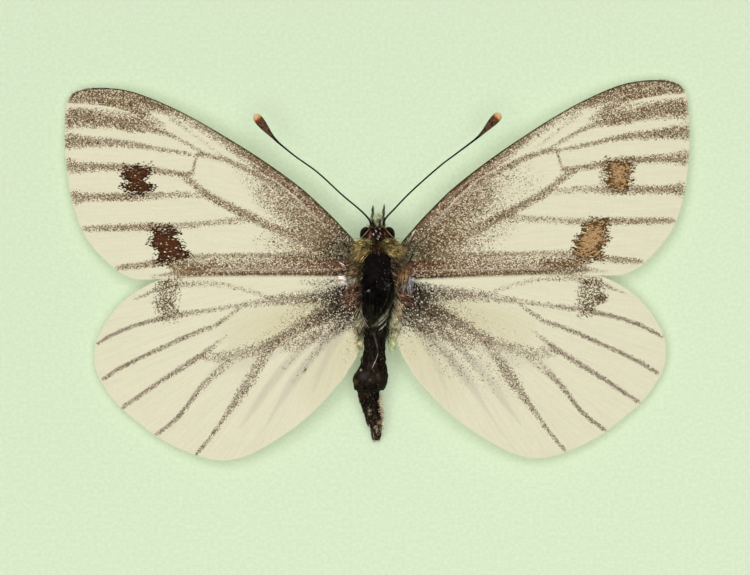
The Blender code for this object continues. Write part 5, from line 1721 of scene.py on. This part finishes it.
def make_eyes():
    """Two balls that bulge from the head's sides."""
    polar = np.repeat(np.arange(1, EYE_RINGS) * math.pi / EYE_RINGS, EYE_SIDES)
    turn = np.tile(np.arange(EYE_SIDES) * math.tau / EYE_SIDES, EYE_RINGS - 1)
    ball = np.column_stack([np.sin(polar) * np.cos(turn), np.sin(polar) * np.sin(turn), np.cos(polar)])
    ball = np.vstack([ball, (0.0, 0.0, 1.0), (0.0, 0.0, -1.0)]) * EYE_RADII
    faces = ring_faces(EYE_RINGS - 1, EYE_SIDES, flip=True)
    material = eye_material()
    for name, side in (("left_eye", -1), ("right_eye", 1)):
        centre = np.array((HEAD_MIDDLE_X + side * EYE_CENTRE[0], *EYE_CENTRE[1:]))
        obj = new_object(name + "_facets", centre + ball, faces, material)
        set_attribute(obj, "slant", 0.74 * side * ball[:, 0] + 0.67 * ball[:, 1])
        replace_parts(obj, name)


def make_abdomen():
    """A horny skin with wrinkles, stains and painted highlights, under thin hair."""
    random = np.random.default_rng(SEEDS["abdomen"])

    def relief(points, turn):
        wrinkle = 0.5 + 0.5 * np.sin(turn * 17.0 + 2.5 * lumps(points, 2.5, random))
        swellings = 0.030 * lumps(points, 0.8, random)
        return swellings - 0.022 * wrinkle ** 3 + 0.012 * lumps(points, 0.22, random)

    horn = skin_material("abdomen_skin", (9, 7, 4), (46, 36, 24), 0.6, 0.06, True)
    core = body_core("abdomen_skin", ABDOMEN, ABDOMEN_FUR_DEPTH, 72, 0.05, relief, horn)
    at = np.array([tuple(v.co) for v in core.data.vertices]) / MM
    share, colour = np.zeros(len(at)), np.zeros((len(at), 3))
    # stains, and painted highlights on the swelling, on the upper side only
    for x, y, radius, much, shade in ABDOMEN_STAINS_AND_HIGHLIGHTS:
        cover = much * np.exp(-((at[:, 0] - x) ** 2 + (at[:, 1] - y) ** 2) / radius ** 2)
        cover *= at[:, 2] > 0.7
        colour = np.where((cover > share)[:, None], linear(shade)[:3], colour)
        share = np.maximum(share, cover)
    set_attribute(core, "stain_and_highlight_share", share)
    set_attribute(core, "patch", colour)
    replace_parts(core, "abdomen")
    count, reach, sizes, radius = COATS["abdomen"]
    y = random.uniform(*reach, count)
    turn = random.uniform(-0.2 * math.pi, 1.2 * math.pi, count)
    roots, normals = on_body(ABDOMEN, y, turn, ABDOMEN_ROOT_DEPTH)
    ways = np.column_stack([random.normal(0.0, 0.18, count), -np.ones(count), np.zeros(count)])
    ways = unit(along_skin(ways, normals) + normals * random.uniform(0.05, 0.14, count)[:, None])
    # short before the step where the swelling ends, so that none hangs over it
    before_step = smooth(7.6, 8.2, -y) * smooth(-8.6, -8.5, y)
    lengths = random.uniform(*sizes, count) * (1.0 - 0.85 * before_step)
    hair = combed(roots, ways, normals, lengths, -0.08 * normals, random, radius)
    tone = random.uniform(0.0, 1.0, count) ** 2
    tints = blend(*HAIR["abdomen"], tone)
    tip = random.uniform(0.0, 1.0, count) < 0.34 * smooth(8.8, 10.8, -y)
    tints = mixed(tints, blend(*HAIR["tip"], tone), tip)
    speck = random.uniform(0.0, 1.0, count) > 0.985
    tints = mixed(tints, blend(*HAIR["pale_abdomen"], tone), speck)
    parts = [(hair, tints)]
    parts += [tuft(*row, random) for row in ABDOMEN_TUFTS]
    fur_object("abdomen_fur", parts, fur_material("abdomen_hair"))


def make_antennae():
    """Two jointed tubes, each with a club near its end."""
    for name, rows in (("left_antenna", LEFT_ANTENNA), ("right_antenna", RIGHT_ANTENNA)):
        *most, (x, y, z, radius) = rows
        points, faces, run = tube((*most, (x, y, z, 0.5 * radius)), 0.03, 14, ANTENNA_JOINT, 0.89)
        obj = new_object(name + "_rings", points, faces, antenna_material(name))
        set_attribute(obj, "rest", run[-1] - run)
        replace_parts(obj, name)


def make_palps():
    """Two stalks, hairy all round, with pale hair on the sides that face each other."""
    random = np.random.default_rng(SEEDS["palps"])
    hair = fur_material("palp_hair")
    count, sizes, radius = PALP_HAIR
    for name, rows, side in (("left_palp", LEFT_PALP, -1), ("right_palp", RIGHT_PALP, 1)):
        points, faces, _ = tube([(x, y, z, 0.62 * r) for x, y, z, r in rows], 0.05, 12)
        felt = skin_material(name + "_skin", (18, 16, 9), (54, 48, 30), 0.7, 0.1)
        obj = new_object(name + "_stalk", points, faces, felt)
        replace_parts(obj, name)
        roots, way, out = on_stalk(rows, 0.0, 0.6, count, random)
        ways = unit(way + out * random.uniform(0.12, 0.4, count)[:, None])
        mesh = combed(roots, ways, out, random.uniform(*sizes, count), -0.1 * out, random, radius)
        tone = random.uniform(0.0, 1.0, count)
        tints = blend(*HAIR["palp"], tone ** 2)
        inner = (out[:, 0] * -side > 0.2) & (tone > 0.5)
        tints[inner] = blend(*HAIR["pale_palp"], tone[inner])
        fur_object(name + "_fur", [(mesh, tints)], hair)


def make_proboscis():
    """A flat coil, whose tube narrows to its tip."""
    coil = []
    for t in np.arange(COIL_POINTS) / (COIL_POINTS - 1):
        reach = COIL_OUTER_RADIUS + (COIL_INNER_RADIUS - COIL_OUTER_RADIUS) * t
        angle = math.pi / 2.0 - math.tau * COIL_TURNS * t
        x, y, z = COIL_CENTRE
        radius = COIL_TUBE[0] + (COIL_TUBE[1] - COIL_TUBE[0]) * t
        coil.append((x, y + reach * math.cos(angle), z + reach * math.sin(angle), radius))
    points, faces, _ = tube(coil, 0.02, 14, COIL_JOINT, 0.95)
    material = skin_material("proboscis_skin", (46, 28, 16), (92, 62, 38), 0.4, 0.35)
    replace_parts(new_object("proboscis_coil", points, faces, material), "proboscis")


def make_legs():
    """Six folded legs, each with its spines and two claws."""
    random = np.random.default_rng(SEEDS["legs"])
    material = leg_material()
    count, sizes, radius = LEG_SPINES
    for kind, rows in LEGS.items():
        for prefix, side in (("left_", -1), ("right_", 1)):
            mirrored = [(side * x, y, z, r) for x, y, z, r in rows]
            points, faces, run = tube(mirrored, 0.04, 14, LEG_JOINT, 0.96)
            roots, way, out = on_stalk(mirrored, 0.25, 0.8, count, random)
            lengths = random.uniform(*sizes, count)
            spines = combed(roots, unit(way + 0.45 * out), out, lengths, 0.0 * out, random, radius)
            claws = claw_pair(mirrored)
            extra = np.vstack([spines["points"], claws["points"]])
            faces += (spines["faces"] + len(points)).tolist()
            faces += (claws["faces"] + len(points) + len(spines["points"])).tolist()
            everything = np.vstack([points, extra])
            everything[:, 2] = np.maximum(everything[:, 2], LOWEST_POINT)
            name = prefix + kind
            obj = new_object(name + "_joints", everything, faces, material)
            set_attribute(obj, "share", np.r_[run / run[-1], np.ones(len(extra))])
            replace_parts(obj, name)


def claw_pair(rows):
    """Two claws, spread and bent down, at a leg's end."""
    path, _ = spline(rows, 0.02)
    end, way = path[-1, :3], unit(path[-1, :3] - path[-6, :3])
    aside = unit(np.cross(way, (0.0, 0.0, 1.0)))
    share = np.linspace(0.0, 1.0, 5)[:, None]
    drop = np.array((0.0, 0.0, CLAW_DROP)) * share ** 2
    claws = [end + (CLAW_LENGTH * share - 0.02) * way + sign * CLAW_SPREAD * share * aside - drop
             for sign in (-1.0, 1.0)]
    up = np.tile((0.0, 0.0, 1.0), (2, 1))
    return strand_mesh(np.array(claws), up, np.full(2, CLAW_RADIUS), (1.0, 0.9, 0.7, 0.5))


# ---------------------------------------------------------------- everything
make_camera()
make_stage()
make_wings()
make_thorax()
make_head()
make_eyes()
make_abdomen()
make_antennae()
make_palps()
make_proboscis()
make_legs()
